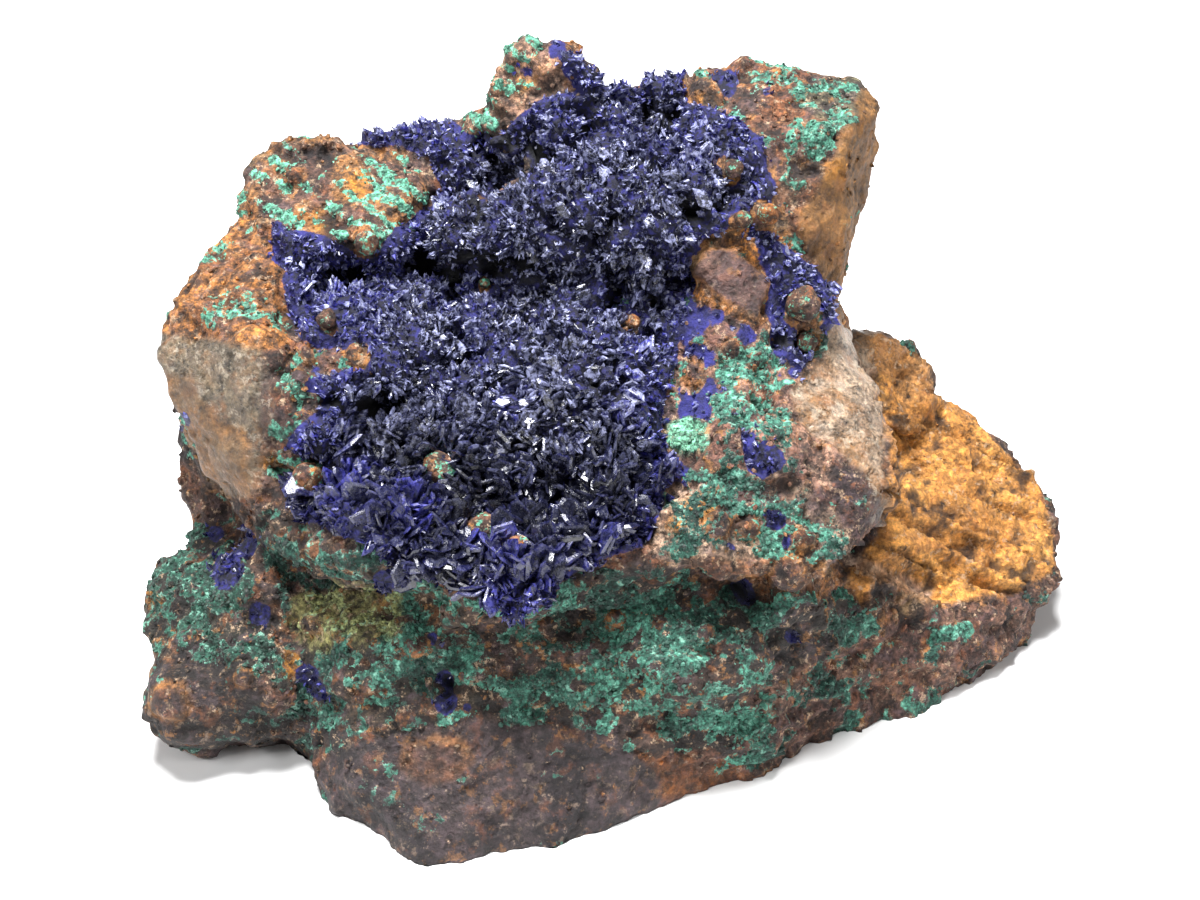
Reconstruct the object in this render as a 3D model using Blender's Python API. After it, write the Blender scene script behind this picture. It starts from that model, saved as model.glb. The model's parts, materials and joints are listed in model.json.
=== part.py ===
"""Azurite specimen: a broken stone of quartz, limonite and malachite, with a crust of azurite blades in its hollow.

The stone stands on a flat cut at z = 0. The origin is under the middle of the whole specimen, +X is to the right,
-Y is towards the viewer and +Z is up. Lengths below are in millimetres, and MM turns them into metres.
"""

import math
import random

import bmesh
import bpy
from mathutils import Matrix, Vector, noise
from mathutils.bvhtree import BVHTree

MM = 0.001

# How finely the blocks are fused into one stone, and how many triangles it keeps.
FUSING_VOXEL = 1.0
STONE_TRIANGLES = 5200
GROUND_BLOCK = (200, 200, 60)

# The crust: the gap between it and the stone, its sheet's top above the stone, and its blades.
CRUST_GAP = 0.5
SHEET_TOP = 1.5
SHEET_EDGE_TOP = 0.9
SHEET_ROOT = -1.0
SHEET_SOURCE_TRIANGLES = 1900
BLADE_ROOT = 0.3
BLADE_COUNT = 100
BLADE_SPACING = 3.4
BLADE_LENGTH = (3.8, 6.4)
BLADE_WIDTH = (2.1, 3.6)
BLADE_THICKNESS = (0.6, 1.0)
BLADE_LEAN = math.radians(58)
MERGE_DISTANCE = 0.0012

# Outlines are drawn on a plane through DRAWING_CENTRE that leans back by DRAWING_LEAN, as seen from EYE_DISTANCE away.
# Their points are (right, up) in millimetres on that plane.
DRAWING_CENTRE = Vector((0, 0, 30))
DRAWING_LEAN = math.radians(35)
EYE_DISTANCE = 250

AZURITE_HOLLOW = [
    (-32, 38.5), (-25, 40), (-19, 41), (-16, 39), (-12.5, 40), (-9, 42.5), (-3, 44.5), (-5.5, 49), (-1, 47.5),
    (5, 46), (10, 45.5), (11, 42), (16, 40.5), (20, 38.5), (22, 33), (21.5, 27), (25, 24), (28.5, 20), (28.5, 15),
    (25, 10), (22, 13), (20.5, 22), (17, 27.5), (11.5, 24), (12, 18), (10, 12.5), (8.5, 7), (13, 2.5), (18, 2.5),
    (21, -3), (12.5, 0), (6.5, -4), (3.5, -12), (-5, -15.5), (-7, -19), (-10.5, -20.5), (-16, -17), (-25, -15),
    (-34, -10), (-38, -7), (-35, -2), (-38, 1.5), (-33, 7), (-31, 11.5), (-37, 13), (-40, 21), (-40.5, 28.5),
    (-32, 25.5), (-27, 26), (-22, 30), (-21, 36.5),
]

# Corners of the convex blocks that the stone broke into.
BLOCKS = {
    # The wide foot, with its corner towards the viewer.
    "foot": [
        (-36.5, -27.5, -2), (-33, -30, -2), (-28.5, -35, -2), (-20.5, -43.5, -2), (-13, -41, -2), (-5, -39, -2),
        (7, -30, -2), (18, -24, -2), (26, -23, -2), (37, -16.5, -2), (44, -8, -2), (44, 14, -2), (30, 35, -2),
        (-8, 39, -2), (-36, 28, -2), (-44, 2, -2),
        (-32, -30, 8), (-19, -35, 10), (-6, -32, 12), (12, -26, 10), (30, -18, 10),
        (-34, -22, 18), (-19, -25, 22), (0, -25, 20), (24, -20, 20), (36, -8, 20),
        (34, 26, 24), (-6, 39, 24), (-36, 28, 24), (-43, 2, 22),
    ],
    # The upright body above it, up to the lip of the hollow and the floor of the hollow.
    "body": [
        (-42, -10, 22), (-20, -20, 22), (8, -20, 22), (27, -14, 22), (34, 0, 22), (32, 22, 22),
        (0, 38, 22), (-34, 28, 22), (-46, 4, 22),
        (-34, -17, 31), (-20, -25, 29), (-9, -27, 28), (6, -23, 31), (22, -18, 32),
        (-30, -8, 41), (-12, -12, 38), (8, -12, 39), (26, -6, 40),
        (-40, 12, 47), (-14, 12, 48), (4, 14, 50), (29, 14, 45), (30, 26, 44), (0, 38, 46), (-32, 32, 46),
    ],
    # A dark ledge that runs down the left side under the quartz.
    "left_ledge": [
        (-48, -4, 29), (-43, -13, 27), (-32, -20, 27), (-24, -24, 27), (-33, -17, 33), (-40, -12, 33),
        (-52, 6, 30), (-50, 8, 20), (-40, -8, 20), (-30, -16, 22), (-40, 6, 30),
    ],
    "left_shoulder": [
        (-54, 2, 46.5), (-53, -1, 44), (-51.5, -3, 40), (-49, -5, 30), (-41, -13, 32), (-39, -8, 48.5),
        (-39, 6, 53.5), (-50.5, 6, 51.5), (-45, 16, 53), (-47, 18, 48), (-50, 14, 34), (-38, 10, 30), (-30, 4, 40),
    ],
    "left_flake": [
        (-55, 8, 31), (-55.5, 8, 28), (-54, 6, 22), (-55, 5, 19.5), (-53, 2, 15), (-46, 0, 26), (-48, 2, 32),
        (-48, 14, 30), (-46, 14, 16),
    ],
    "upper_left": [
        (-40.5, 26, 61), (-34, 26, 60.5), (-43.5, 24, 59.5), (-47, 20, 55.5), (-47, 18, 48), (-22, 18, 57.5),
        (-21, 20, 56.5), (-26, 9, 56), (-33, 8, 55.5), (-41, 12, 55), (-40, 30, 46), (-24, 32, 46), (-24, 13, 44),
        (-40, 12, 44),
    ],
    "back_crest": [
        (-34, 29, 58), (-24, 31, 59), (-18, 30, 60.5), (5, 30, 67), (13, 31, 67), (-16, 22, 59), (-4, 22, 60), (8, 22, 60),
        (-30, 22, 50), (6, 16, 48), (12, 37, 50), (-32, 36, 44), (-30, 38, 26), (12, 42, 26),
    ],
    "peak": [
        (-7.5, 26, 74), (-9.5, 26, 73.5), (-5, 26, 74), (-2.5, 26, 71), (0.5, 27, 68), (-18, 29, 61), (-15.5, 21, 62),
        (-6, 18, 64.5), (2, 19, 62), (-6, 33, 66), (-8, 36, 56), (4, 36, 56), (-14, 20, 58), (2, 18, 58),
    ],
    "upper_right": [
        (12.6, 30, 67), (18, 32, 68), (22, 33, 67.3), (33, 31, 66), (35.3, 28, 63), (35, 25, 55),
        (32.4, 22, 47), (29, 20, 41), (20, 16, 66), (31, 18, 66), (14.5, 13, 60), (24, 7, 51), (29, 11, 46),
        (10, 24, 62), (8, 26, 48), (12, 41, 50), (34, 38, 56), (29, 40, 40), (10, 43, 38),
    ],
    "right_shelf": [
        (10, 2, 46), (15, 9, 55), (19, 9, 54), (24, 7, 51), (28, 9, 46), (30, 4, 42), (24, -4, 42), (14, -4, 43),
        (14, 14, 44), (28, 14, 40), (28, 0, 34), (12, 0, 36),
    ],
    "brown_plate": [
        (11, 7, 54.5), (13, 9, 56), (19, 7, 53.5), (20, 3, 50), (17, 0, 48), (13, 1, 49), (12, 6, 50), (18, 6, 47),
        (16, 2, 45),
    ],
    "right_bench": [
        (33, -15, 34), (31, -19, 29), (26, -23, 28), (12, -26, 29.5), (7, -22, 33), (9, -17, 39), (14, -14, 42),
        (31, -6, 39), (36, -9, 32), (35.5, -3, 37), (30, 3, 41), (18, 0, 45), (25, 8, 46), (29, 12, 40),
        (29, -12, 25), (14, -18, 26), (33, 0, 24), (34, -9, 26),
    ],
    "bench_underside": [
        (17, -23, 21), (21, -23, 24), (26, -20, 25), (25, -20, 20), (18, -14, 20), (26, -12, 22), (16, -14, 26),
    ],
    "right_slab": [
        (62, 2, 8), (62, 6, 9), (61.5, 14, 9), (60, 18, 13), (55.5, 20.5, 16), (50, 23, 19), (30, -13, 16),
        (46, -8, 9.5), (28, -22, -2), (36, -16.5, -2), (41, -15, -2), (50, -8, -2), (54.5, -2, -2), (59, 2.5, 5), (52, 14, -2),
        (46, 26, -2), (38, 34, 14), (30, 36, -2), (20, 0, -2), (34, 22, 27), (20, 20, 28), (44, 25, 22),
    ],
    "slab_step_high": [
        (33, 25, 33), (39, 27, 30), (44.5, 27, 28), (46.5, 26, 25), (46, 22, 21), (41, 12, 24), (34, 8, 28), (32, 16, 34),
        (30, 26, 20), (42, 26, 16),
    ],
    "slab_step_low": [
        (34, -8, 20), (44, -2, 15), (52, 4, 14), (50, 10, 16), (40, 6, 21), (34, 0, 24), (34, 4, 8), (48, 6, 6),
        (38, -6, 8),
    ],
    # The broken back, in two slanting faces that meet in a blunt edge.
    "back_edge": [
        (-12, 46, -2), (-9, 45, 16), (4, 43, 34), (16, 42, 40), (-34, 33, 30), (-38, 30, -2), (30, 36, -2),
        (30, 36, 34), (-20, 34, 44), (0, 24, 20),
    ],
    "back_left_lump": [
        (-47, 18, 6), (-50, 16, 18), (-42, 30, 10), (-38, 33, 20), (-46, 22, 30), (-36, 28, 34), (-32, 34, 4),
        (-44, 10, 2), (-36, 10, 14), (-48, 8, 22),
    ],
}

# Round knobs: centre and radii.
KNOBS = {
    "left_foot_ball": ((-50, -20, 7), (6.8, 7.2, 7.2)),
    "left_foot_brown": ((-42, -18, 8), (9, 8, 9)),
    "left_foot_green": ((-49.5, -8, 12), (8.6, 8, 7.7)),
    "left_foot_back": ((-44, -2, 12), (9, 9, 8)),
    "left_foot_neck": ((-42, -12, 16), (7, 7, 8)),
    "hollow_ridge": ((2, 14, 56.5), (17, 9, 6)),
    "hollow_ridge_left": ((-12, 13, 54), (8, 7, 5)),
    "hollow_rib": ((-3, 2, 42), (9, 15, 6.6)),
    "hollow_left_swell": ((-28, 2, 43.5), (10, 12, 6)),
    "round_plate": ((25, 6, 45.5), (3.2, 3, 3.6)),
    "lip_blade_cluster": ((-9, -25, 29), (7, 4.5, 4)),
    "lip_left": ((-24, -21, 31), (8, 4.5, 4)),
    "left_nodules": ((-35, -9, 41), (4, 4, 6)),
    "under_ledge": ((-13, -25, 24), (6, 4, 3)),
    "front_swell": ((10, -24, 16), (10, 5, 6)),
    "back_boss": ((14, 37, 22), (12, 8, 12)),
    "back_corner_boss": ((28, 31, 20), (7, 7, 12)),
    "crest_back_boss": ((-14, 33, 48), (12, 6, 9)),
}

# Pits and caves: centre and radii of what is missing.
PITS = {
    "crest_cave": ((-13, 20, 58.5), (5, 5, 3.4)),
    "right_cave": ((8, 20.5, 61), (4.6, 5, 3)),
    "left_crevice": ((-20, 4, 51), (7, 3, 4)),
    "middle_crevice": ((6, 2.5, 51), (8, 2.6, 3.2)),
    "left_overhang": ((-31, 6, 53), (5, 2.6, 2.4)),
    "deep_gap_left": ((-12, -21, 35.5), (6, 3.6, 3.6)),
    "deep_gap_right": ((4, -18, 37), (6, 3.6, 3.6)),
    "bench_hole": ((19.5, -7, 43), (2.4, 4, 3.6)),
    "side_cave": ((23.5, 2.4, 43), (4, 3, 2.6)),
    "under_bench": ((17, -22, 25), (8, 5, 2.6)),
    "under_bench_right": ((29, -18, 24), (4, 5, 4)),
    "low_hole": ((-16, -29.5, 13), (4, 3, 2)),
    "lip_shadow": ((-4, -27.5, 22), (18, 3, 2.6)),
    "foot_gap": ((-40, -29.5, 3), (3.4, 5, 9)),
    "back_scoop": ((24, 41, 30), (12, 6, 12)),
    "back_left_scoop": ((-30, 38, 40), (12, 6, 9)),
    "back_low_scoop": ((-26, 40, 6), (10, 7, 8)),
}

# Roughness of the broken stone: the size of the lumps and the height of each layer of noise.
ROUGHNESS = [(16, 1.1), (7, 0.9), (3.4, 0.6)]
BED_THICKNESS = 5.5
BED_HEIGHT = 0.8

# Faces that broke cleanly, drawn like the azurite's outline: how much of the roughness is left on each.
CLEAN_FACES = [
    (0.3, [(-55, 14), (-43, 12), (-42, -6), (-50, -3)]),
    (0.35, [(26, 13), (32, 13), (35.5, 0), (35, -9), (31, -2), (25, 6)]),
    (0.4, [(27, 42), (35, 40), (34, 24), (30, 17), (25, 24)]),
    (0.35, [(-34, -35), (-4, -35), (20, -39), (12, -46), (-22, -53)]),
]


def eye_frame():
    """The eye's place, and the directions right, up and into the drawing."""
    right = Vector((1, 0, 0))
    into = Vector((0, math.cos(DRAWING_LEAN), -math.sin(DRAWING_LEAN)))
    return DRAWING_CENTRE - into * EYE_DISTANCE, right, right.cross(into), into


def drawn(place):
    """Where a point of the specimen, in millimetres, lies on the drawing."""
    eye, right, up, into = eye_frame()
    sight = place - eye
    scale = EYE_DISTANCE / sight.dot(into)
    return sight.dot(right) * scale, sight.dot(up) * scale


def inside(outline, point):
    """Whether a point of the drawing lies in this outline, by counting the edges to its right."""
    right, up = point
    crossings = 0
    for (x0, y0), (x1, y1) in zip(outline, outline[1:] + outline[:1]):
        if (y0 > up) != (y1 > up) and right < x0 + (up - y0) / (y1 - y0) * (x1 - x0):
            crossings += 1
    return crossings % 2 == 1


def new_object(name, builder):
    """A new object in the scene, from a bmesh that is used up."""
    mesh = bpy.data.meshes.new(name)
    builder.to_mesh(mesh)
    builder.free()
    made = bpy.data.objects.new(name, mesh)
    bpy.context.scene.collection.objects.link(made)
    return made


def apply_modifiers(made):
    """Turns what the modifiers make into the object's own mesh."""
    graph = bpy.context.evaluated_depsgraph_get()
    made.data = bpy.data.meshes.new_from_object(made.evaluated_get(graph))
    made.modifiers.clear()


def add_block(builder, corners):
    """Adds the convex block that has these corners, in millimetres."""
    hull = bmesh.new()
    for corner in corners:
        hull.verts.new(Vector(corner))
    bmesh.ops.convex_hull(hull, input=hull.verts)
    bmesh.ops.delete(hull, geom=[v for v in hull.verts if not v.link_faces], context="VERTS")
    bmesh.ops.scale(hull, vec=(MM, MM, MM), verts=hull.verts)
    mesh = bpy.data.meshes.new("block")
    hull.to_mesh(mesh)
    hull.free()
    builder.from_mesh(mesh)
    bpy.data.meshes.remove(mesh)


def add_knob(builder, centre, radii):
    place = Matrix.Translation(Vector(centre) * MM) @ Matrix.Diagonal(Vector(radii) * MM).to_4x4()
    bmesh.ops.create_icosphere(builder, subdivisions=3, radius=1, matrix=place)


def fuse(made):
    """Melts overlapping closed shapes into one, by a voxel remesh."""
    remesh = made.modifiers.new("fuse", "REMESH")
    remesh.mode = "VOXEL"
    remesh.voxel_size = FUSING_VOXEL * MM
    apply_modifiers(made)


def combine(made, other, operation, melt_own_overlaps=False):
    """Applies a Boolean with the other object, and removes that object."""
    boolean = made.modifiers.new(operation.lower(), "BOOLEAN")
    boolean.operation = operation
    boolean.solver = "EXACT"
    boolean.use_self = melt_own_overlaps
    boolean.object = other
    apply_modifiers(made)
    bpy.data.objects.remove(other)


def patches_of(faces):
    """Sorts faces into patches that hang together across their edges."""
    left = set(faces)
    patches = []
    for start in sorted(left, key=lambda face: face.index):
        if start not in left:
            continue
        left.discard(start)
        patch = {start}
        front = [start]
        while front:
            face = front.pop()
            near = {other for edge in face.edges for other in edge.link_faces} & left
            left -= near
            patch |= near
            front.extend(near)
        patches.append(patch)
    return patches


def keep_largest_body(made):
    """Removes any loose crumbs, so that the mesh is one body."""
    builder = bmesh.new()
    builder.from_mesh(made.data)
    bodies = sorted(patches_of(builder.faces), key=len)
    for body in bodies[:-1]:
        bmesh.ops.delete(builder, geom=list(body), context="FACES")
    builder.to_mesh(made.data)
    builder.free()


def roughness_at(place, normal):
    """How far the broken surface stands out from the plain blocks here, in millimetres."""
    height = 0
    for size, amount in ROUGHNESS:
        height += amount * noise.noise(place / size)
        height += amount * 0.5 * (0.5 - 2 * abs(noise.noise(place / size * 0.8 + Vector((31, 7, 19)))))
    bed = (place.dot(Vector((0.18, 0.12, 0.98))) + 1.5 * noise.noise(place / 11)) / BED_THICKNESS
    height += BED_HEIGHT * (1 - abs(normal.z)) * (abs(bed - math.floor(bed) - 0.5) * 2 - 0.5)
    toward_viewer = normal.dot(eye_frame()[0] - place) > 0
    for share, outline in CLEAN_FACES:
        if toward_viewer and inside(outline, drawn(place)):
            height *= share
    return height


def roughen(made):
    """Moves each vertex along its normal. The normals are copied first, because they change with every move."""
    normals = [vertex.normal.copy() for vertex in made.data.vertices]
    for vertex, normal in zip(made.data.vertices, normals):
        vertex.co += normal * roughness_at(vertex.co / MM, normal) * MM


def thin_out(made, triangles):
    thin = made.modifiers.new("thin_out", "DECIMATE")
    made.data.calc_loop_triangles()
    thin.ratio = triangles / len(made.data.loop_triangles)
    thin.use_collapse_triangulate = True
    apply_modifiers(made)


def make_stone():
    """The matrix stone: fused blocks and knobs, less the pits, roughened, cut flat underneath and thinned out."""
    builder = bmesh.new()
    for corners in BLOCKS.values():
        add_block(builder, corners)
    for centre, radii in KNOBS.values():
        add_knob(builder, centre, radii)
    stone = new_object("matrix_stone", builder)
    fuse(stone)

    holes = bmesh.new()
    for centre, radii in PITS.values():
        add_knob(holes, centre, radii)
    missing = new_object("missing", holes)
    fuse(missing)
    combine(stone, missing, "DIFFERENCE")
    fuse(stone)

    soften = stone.modifiers.new("soften", "SMOOTH")
    soften.factor = 0.5
    soften.iterations = 3
    apply_modifiers(stone)
    roughen(stone)
    thin_out(stone, STONE_TRIANGLES)

    ground = bmesh.new()
    below = Matrix.Translation(Vector((0, 0, -GROUND_BLOCK[2] / 2)) * MM)
    bmesh.ops.create_cube(ground, size=1, matrix=below @ Matrix.Diagonal(Vector(GROUND_BLOCK) * MM).to_4x4())
    combine(stone, new_object("ground", ground), "DIFFERENCE")
    keep_largest_body(stone)
    return stone


def faces_in_view(builder, outline):
    """The stone's faces inside an outline of the drawing that are seen from its eye, with the ragged bits filled."""
    eye = eye_frame()[0] * MM
    tree = BVHTree.FromBMesh(builder)
    chosen = set()
    for face in builder.faces:
        centre = face.calc_center_median()
        if face.normal.dot(eye - centre) <= 0 or not inside(outline, drawn(centre / MM)):
            continue
        sight = centre - eye
        hit = tree.ray_cast(eye, sight)
        if hit[3] is None or hit[3] > sight.length - 3 * MM:
            chosen.add(face)
    for _ in range(3):
        for face in builder.faces:
            beside = [other for edge in face.edges for other in edge.link_faces if other is not face]
            count = sum(other in chosen for other in beside)
            if count >= 2:
                chosen.add(face)
            elif count == 0:
                chosen.discard(face)
    return largest_patch(chosen)


def largest_patch(chosen):
    """The largest connected part of these faces, widened wherever it meets itself at a single corner."""
    patch = max(patches_of(chosen), key=len)
    while True:
        pinched = set()
        for vertex in {v for face in patch for v in face.verts}:
            rim = [e for e in vertex.link_edges if sum(f in patch for f in e.link_faces) == 1]
            if len(rim) > 2:
                pinched.update(vertex.link_faces)
        if pinched <= patch:
            return patch
        patch |= pinched


def make_sheet(name, patch):
    """A closed sheet over these faces of the stone: its root lies in the stone and its top stands above it."""
    sheet = bmesh.new()
    corners = sorted({v for face in patch for v in face.verts}, key=lambda v: v.index)
    top, root = {}, {}
    for vertex in corners:
        rim = any(sum(f in patch for f in e.link_faces) == 1 for e in vertex.link_edges)
        height = SHEET_EDGE_TOP if rim else SHEET_TOP
        top[vertex] = sheet.verts.new(vertex.co + vertex.normal * height * MM)
        root[vertex] = sheet.verts.new(vertex.co + vertex.normal * SHEET_ROOT * MM)
    for face in sorted(patch, key=lambda f: f.index):
        sheet.faces.new([top[v] for v in face.verts])
        sheet.faces.new([root[v] for v in reversed(face.verts)])
        for loop in face.loops:
            if sum(f in patch for f in loop.edge.link_faces) == 1:
                a, b = loop.vert, loop.link_loop_next.vert
                sheet.faces.new([top[b], top[a], root[a], root[b]])
    bmesh.ops.triangulate(sheet, faces=sheet.faces)
    return new_object(name, sheet)


def blade_frame(place, out, turn, lean, twist):
    """A frame whose Z runs along the blade: it leans from the surface's normal, and is twisted about its length."""
    upright = out.to_track_quat("Z", "Y").to_matrix().to_4x4()
    return (Matrix.Translation(place) @ upright @ Matrix.Rotation(turn, 4, "Z") @ Matrix.Rotation(lean, 4, "X")
            @ Matrix.Rotation(twist, 4, "Z"))


def add_blade(builder, frame, length, width, thickness):
    """Adds a flat, tapering tablet with a bevelled end."""
    half, thin = width / 2, thickness / 2
    corners = [(x * half * 0.75, y * thin, -1.6) for x in (-1, 1) for y in (-1, 1)]
    corners += [(x * half, y * thin, length * 0.55) for x in (-1, 1) for y in (-1, 1)]
    corners += [(x * half * 0.35, 0, length) for x in (-1, 1)]
    add_block(builder, [frame @ Vector(corner) for corner in corners])


def scatter(patch, generator):
    """Spots spread over the faces by area, kept apart: each is a place and the way out of the stone there."""
    faces = sorted(patch, key=lambda f: f.index)
    areas = [face.calc_area() for face in faces]
    spots = []
    for face in generator.choices(faces, areas, k=BLADE_COUNT * 12):
        a, b = sorted((generator.random(), generator.random()))
        corners = [v.co for v in face.verts]
        place = (corners[0] * a + corners[1] * (b - a) + corners[2] * (1 - b)) / MM
        if all((place - other).length > BLADE_SPACING for other, _ in spots):
            smooth = sum((v.normal for v in face.verts), Vector()).normalized()
            spots.append((place, smooth))
        if len(spots) == BLADE_COUNT:
            break
    return spots


def make_crust(name, stone, outline, generator):
    """Azurite on the stone inside an outline: blades that grow out of a sheet, clear of the stone by CRUST_GAP."""
    coarse_stone = stone.copy()
    coarse_stone.data = stone.data.copy()
    bpy.context.scene.collection.objects.link(coarse_stone)
    thin_out(coarse_stone, SHEET_SOURCE_TRIANGLES)
    source = bmesh.new()
    source.from_mesh(coarse_stone.data)
    bmesh.ops.triangulate(source, faces=source.faces)
    source.normal_update()
    bpy.data.objects.remove(coarse_stone)

    patch = faces_in_view(source, outline)
    crust = make_sheet(name, patch)
    blades = bmesh.new()
    for place, out in scatter(patch, generator):
        low = (drawn(place)[1] + 20) / 60
        size = generator.uniform(0.85, 1.1) * (1.15 - 0.45 * low)
        frame = blade_frame(place + out * BLADE_ROOT, out, generator.uniform(0, math.tau),
                            generator.uniform(0.15, 1) * BLADE_LEAN, generator.uniform(0, math.pi))
        add_blade(blades, frame, size * generator.uniform(*BLADE_LENGTH), size * generator.uniform(*BLADE_WIDTH),
                  size * generator.uniform(*BLADE_THICKNESS))
    combine(crust, new_object("blades", blades), "UNION", melt_own_overlaps=True)
    source.free()

    grown = stone.data.copy()
    normals = [vertex.normal.copy() for vertex in grown.vertices]
    for vertex, normal in zip(grown.vertices, normals):
        vertex.co += normal * CRUST_GAP * MM
    grown_stone = bpy.data.objects.new("grown_stone", grown)
    bpy.context.scene.collection.objects.link(grown_stone)
    combine(crust, grown_stone, "DIFFERENCE", melt_own_overlaps=True)
    merge_flat_faces(crust)
    keep_largest_body(crust)
    return crust


def merge_flat_faces(made):
    """Joins the slivers that Booleans leave on flat faces, and turns the result into triangles again."""
    builder = bmesh.new()
    builder.from_mesh(made.data)
    bmesh.ops.remove_doubles(builder, verts=builder.verts, dist=MERGE_DISTANCE * MM)
    bmesh.ops.dissolve_limit(builder, angle_limit=math.radians(1), verts=builder.verts, edges=builder.edges)
    bmesh.ops.triangulate(builder, faces=builder.faces)
    builder.to_mesh(made.data)
    builder.free()


def paint(made, name, colour, roughness):
    material = bpy.data.materials.new(name)
    material.use_nodes = True
    shader = material.node_tree.nodes["Principled BSDF"]
    shader.inputs["Base Color"].default_value = (*colour, 1)
    shader.inputs["Roughness"].default_value = roughness
    made.data.materials.clear()
    made.data.materials.append(material)


def main():
    for old in list(bpy.data.objects):
        bpy.data.objects.remove(old)
    stone = make_stone()
    crust = make_crust("azurite_crust", stone, AZURITE_HOLLOW, random.Random(7))
    paint(stone, "brown_and_green_stone", (0.30, 0.22, 0.15), 0.85)
    paint(crust, "azurite", (0.03, 0.04, 0.25), 0.35)


main()
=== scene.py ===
# %% [markdown]
# # An azurite specimen
#
# The real object is a broken stone, as wide as a hand. Its body is quartz and brown limonite, stained green by
# malachite, and azurite has grown as a crust of small blue blades in the hollow on its front.
#
# The solid model already holds the large forms. This script dresses it from coarse to fine: a finer skin for the
# stone with the minerals marked on it, a finish that reads those marks, thousands of azurite blades, and the
# malachite beads, loose grains and brown nodules around them. Each step reads the ones before it.

# %% Load the solid model
import json
import math
import time

import bpy
import numpy as np
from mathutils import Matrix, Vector
from mathutils.bvhtree import BVHTree

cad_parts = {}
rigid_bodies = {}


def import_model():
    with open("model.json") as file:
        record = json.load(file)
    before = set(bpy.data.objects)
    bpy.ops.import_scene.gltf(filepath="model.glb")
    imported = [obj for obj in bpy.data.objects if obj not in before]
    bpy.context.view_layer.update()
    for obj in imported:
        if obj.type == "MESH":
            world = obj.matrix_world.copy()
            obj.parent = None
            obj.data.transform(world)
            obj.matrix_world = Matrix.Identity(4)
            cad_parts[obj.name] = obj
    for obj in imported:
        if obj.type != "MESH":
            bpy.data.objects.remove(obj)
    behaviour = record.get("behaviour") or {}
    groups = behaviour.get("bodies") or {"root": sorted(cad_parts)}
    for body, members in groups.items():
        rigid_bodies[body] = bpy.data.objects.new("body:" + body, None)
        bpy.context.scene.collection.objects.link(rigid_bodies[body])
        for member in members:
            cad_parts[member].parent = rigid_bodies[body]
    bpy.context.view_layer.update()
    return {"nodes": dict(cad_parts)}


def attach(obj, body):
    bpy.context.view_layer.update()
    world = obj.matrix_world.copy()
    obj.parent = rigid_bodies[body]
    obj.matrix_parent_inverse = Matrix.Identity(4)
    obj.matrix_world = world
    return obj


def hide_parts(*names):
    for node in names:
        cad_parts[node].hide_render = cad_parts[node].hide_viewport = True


started = time.time()
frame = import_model()
MM = 0.001


def add(name, data):
    """A new object of the scene, made from a mesh, a light or a camera."""
    made = bpy.data.objects.new(name, data)
    bpy.context.scene.collection.objects.link(made)
    return made


# %% [markdown]
# ## Where things are
#
# A natural stone has no straight edges to measure from, so each patch of mineral is drawn as an outline, as on a
# sheet of paper that leans back in the middle of the stone and is seen from a quarter of a metre in front of it.
# `drawn` says where a point of the stone falls on that paper, in millimetres right and up. A patch then holds the
# points that fall inside its outline, and a signed distance lets its edge be soft or ragged.

# %% The drawing
LEAN = math.radians(35)
PAPER_CENTRE = np.array([0.0, 0.0, 30.0])
EYE_DISTANCE = 250.0
RIGHT = np.array([1.0, 0.0, 0.0])
INTO = np.array([0.0, math.cos(LEAN), -math.sin(LEAN)])
UP = np.cross(RIGHT, INTO)
EYE = PAPER_CENTRE - INTO * EYE_DISTANCE


def drawn(places):
    """Right and up on the paper, in millimetres, for each place."""
    sight = places - EYE
    scale = EYE_DISTANCE / (sight @ INTO)
    return np.stack([(sight @ RIGHT) * scale, (sight @ UP) * scale], 1)


def depth_inside(outline, points):
    """Millimetres from each point of the paper to the outline's edge: positive inside, negative outside."""
    nearest = np.full(len(points), np.inf)
    inside = np.zeros(len(points), bool)
    for (x0, y0), (x1, y1) in zip(outline, outline[1:] + outline[:1]):
        along = np.array([x1 - x0, y1 - y0])
        t = np.clip(((points - (x0, y0)) @ along) / (along @ along), 0, 1)
        nearest = np.minimum(nearest, np.hypot(*(points - (x0, y0) - t[:, None] * along).T))
        if y0 != y1:
            crosses = (points[:, 1] < y0) != (points[:, 1] < y1)
            inside ^= crosses & (points[:, 0] < x0 + (points[:, 1] - y0) / (y1 - y0) * (x1 - x0))
    return np.where(inside, nearest, -nearest)


def rise(values, low, high):
    """0 below low, 1 above high, and a smooth step between."""
    t = np.clip((values - low) / (high - low), 0, 1)
    return t * t * (3 - 2 * t)


print("the eye is at", EYE.round(1), "mm")

# %% [markdown]
# ## Noise
#
# Nothing on a broken stone repeats, so its relief and its colours come from noise. Blender's own noise is called one
# point at a time, which is slow for a hundred and fifty thousand points, so these work on whole arrays. `lumps` are
# smooth, and `roughness_noise` adds finer and finer lumps to them. `bead_noise` measures the distance to the nearest
# of many scattered seeds, which makes grains and beads. `chipped_noise` gives each seed a small tilted plane, which
# makes the flat chips of broken rock.

# %% Noise on arrays
def scramble(i, j, k, seed):
    """A repeatable random number from 0 to 1 for each lattice point."""
    n = (i * 374761393 + j * 668265263 + k * 362437 + seed * 974634777) & 0xFFFFFFFF
    n = ((n ^ (n >> 13)) * 1274126177) & 0xFFFFFFFF
    n = ((n ^ (n >> 15)) * 461845907) & 0xFFFFFFFF
    return ((n ^ (n >> 16)) & 0xFFFFFF) / 0xFFFFFF


def lumps(places, size, seed=0):
    """Smooth noise from -1 to 1, with lumps about this many millimetres across."""
    scaled = places / size + seed * 17.3
    cell = np.floor(scaled).astype(np.int64)
    part = scaled - cell
    part = part * part * (3 - 2 * part)
    total = 0
    for corner in np.ndindex(2, 2, 2):
        weight = np.prod(np.where(corner, part, 1 - part), axis=1)
        total = total + weight * scramble(*(cell + corner).T, seed)
    return total * 2 - 1


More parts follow.
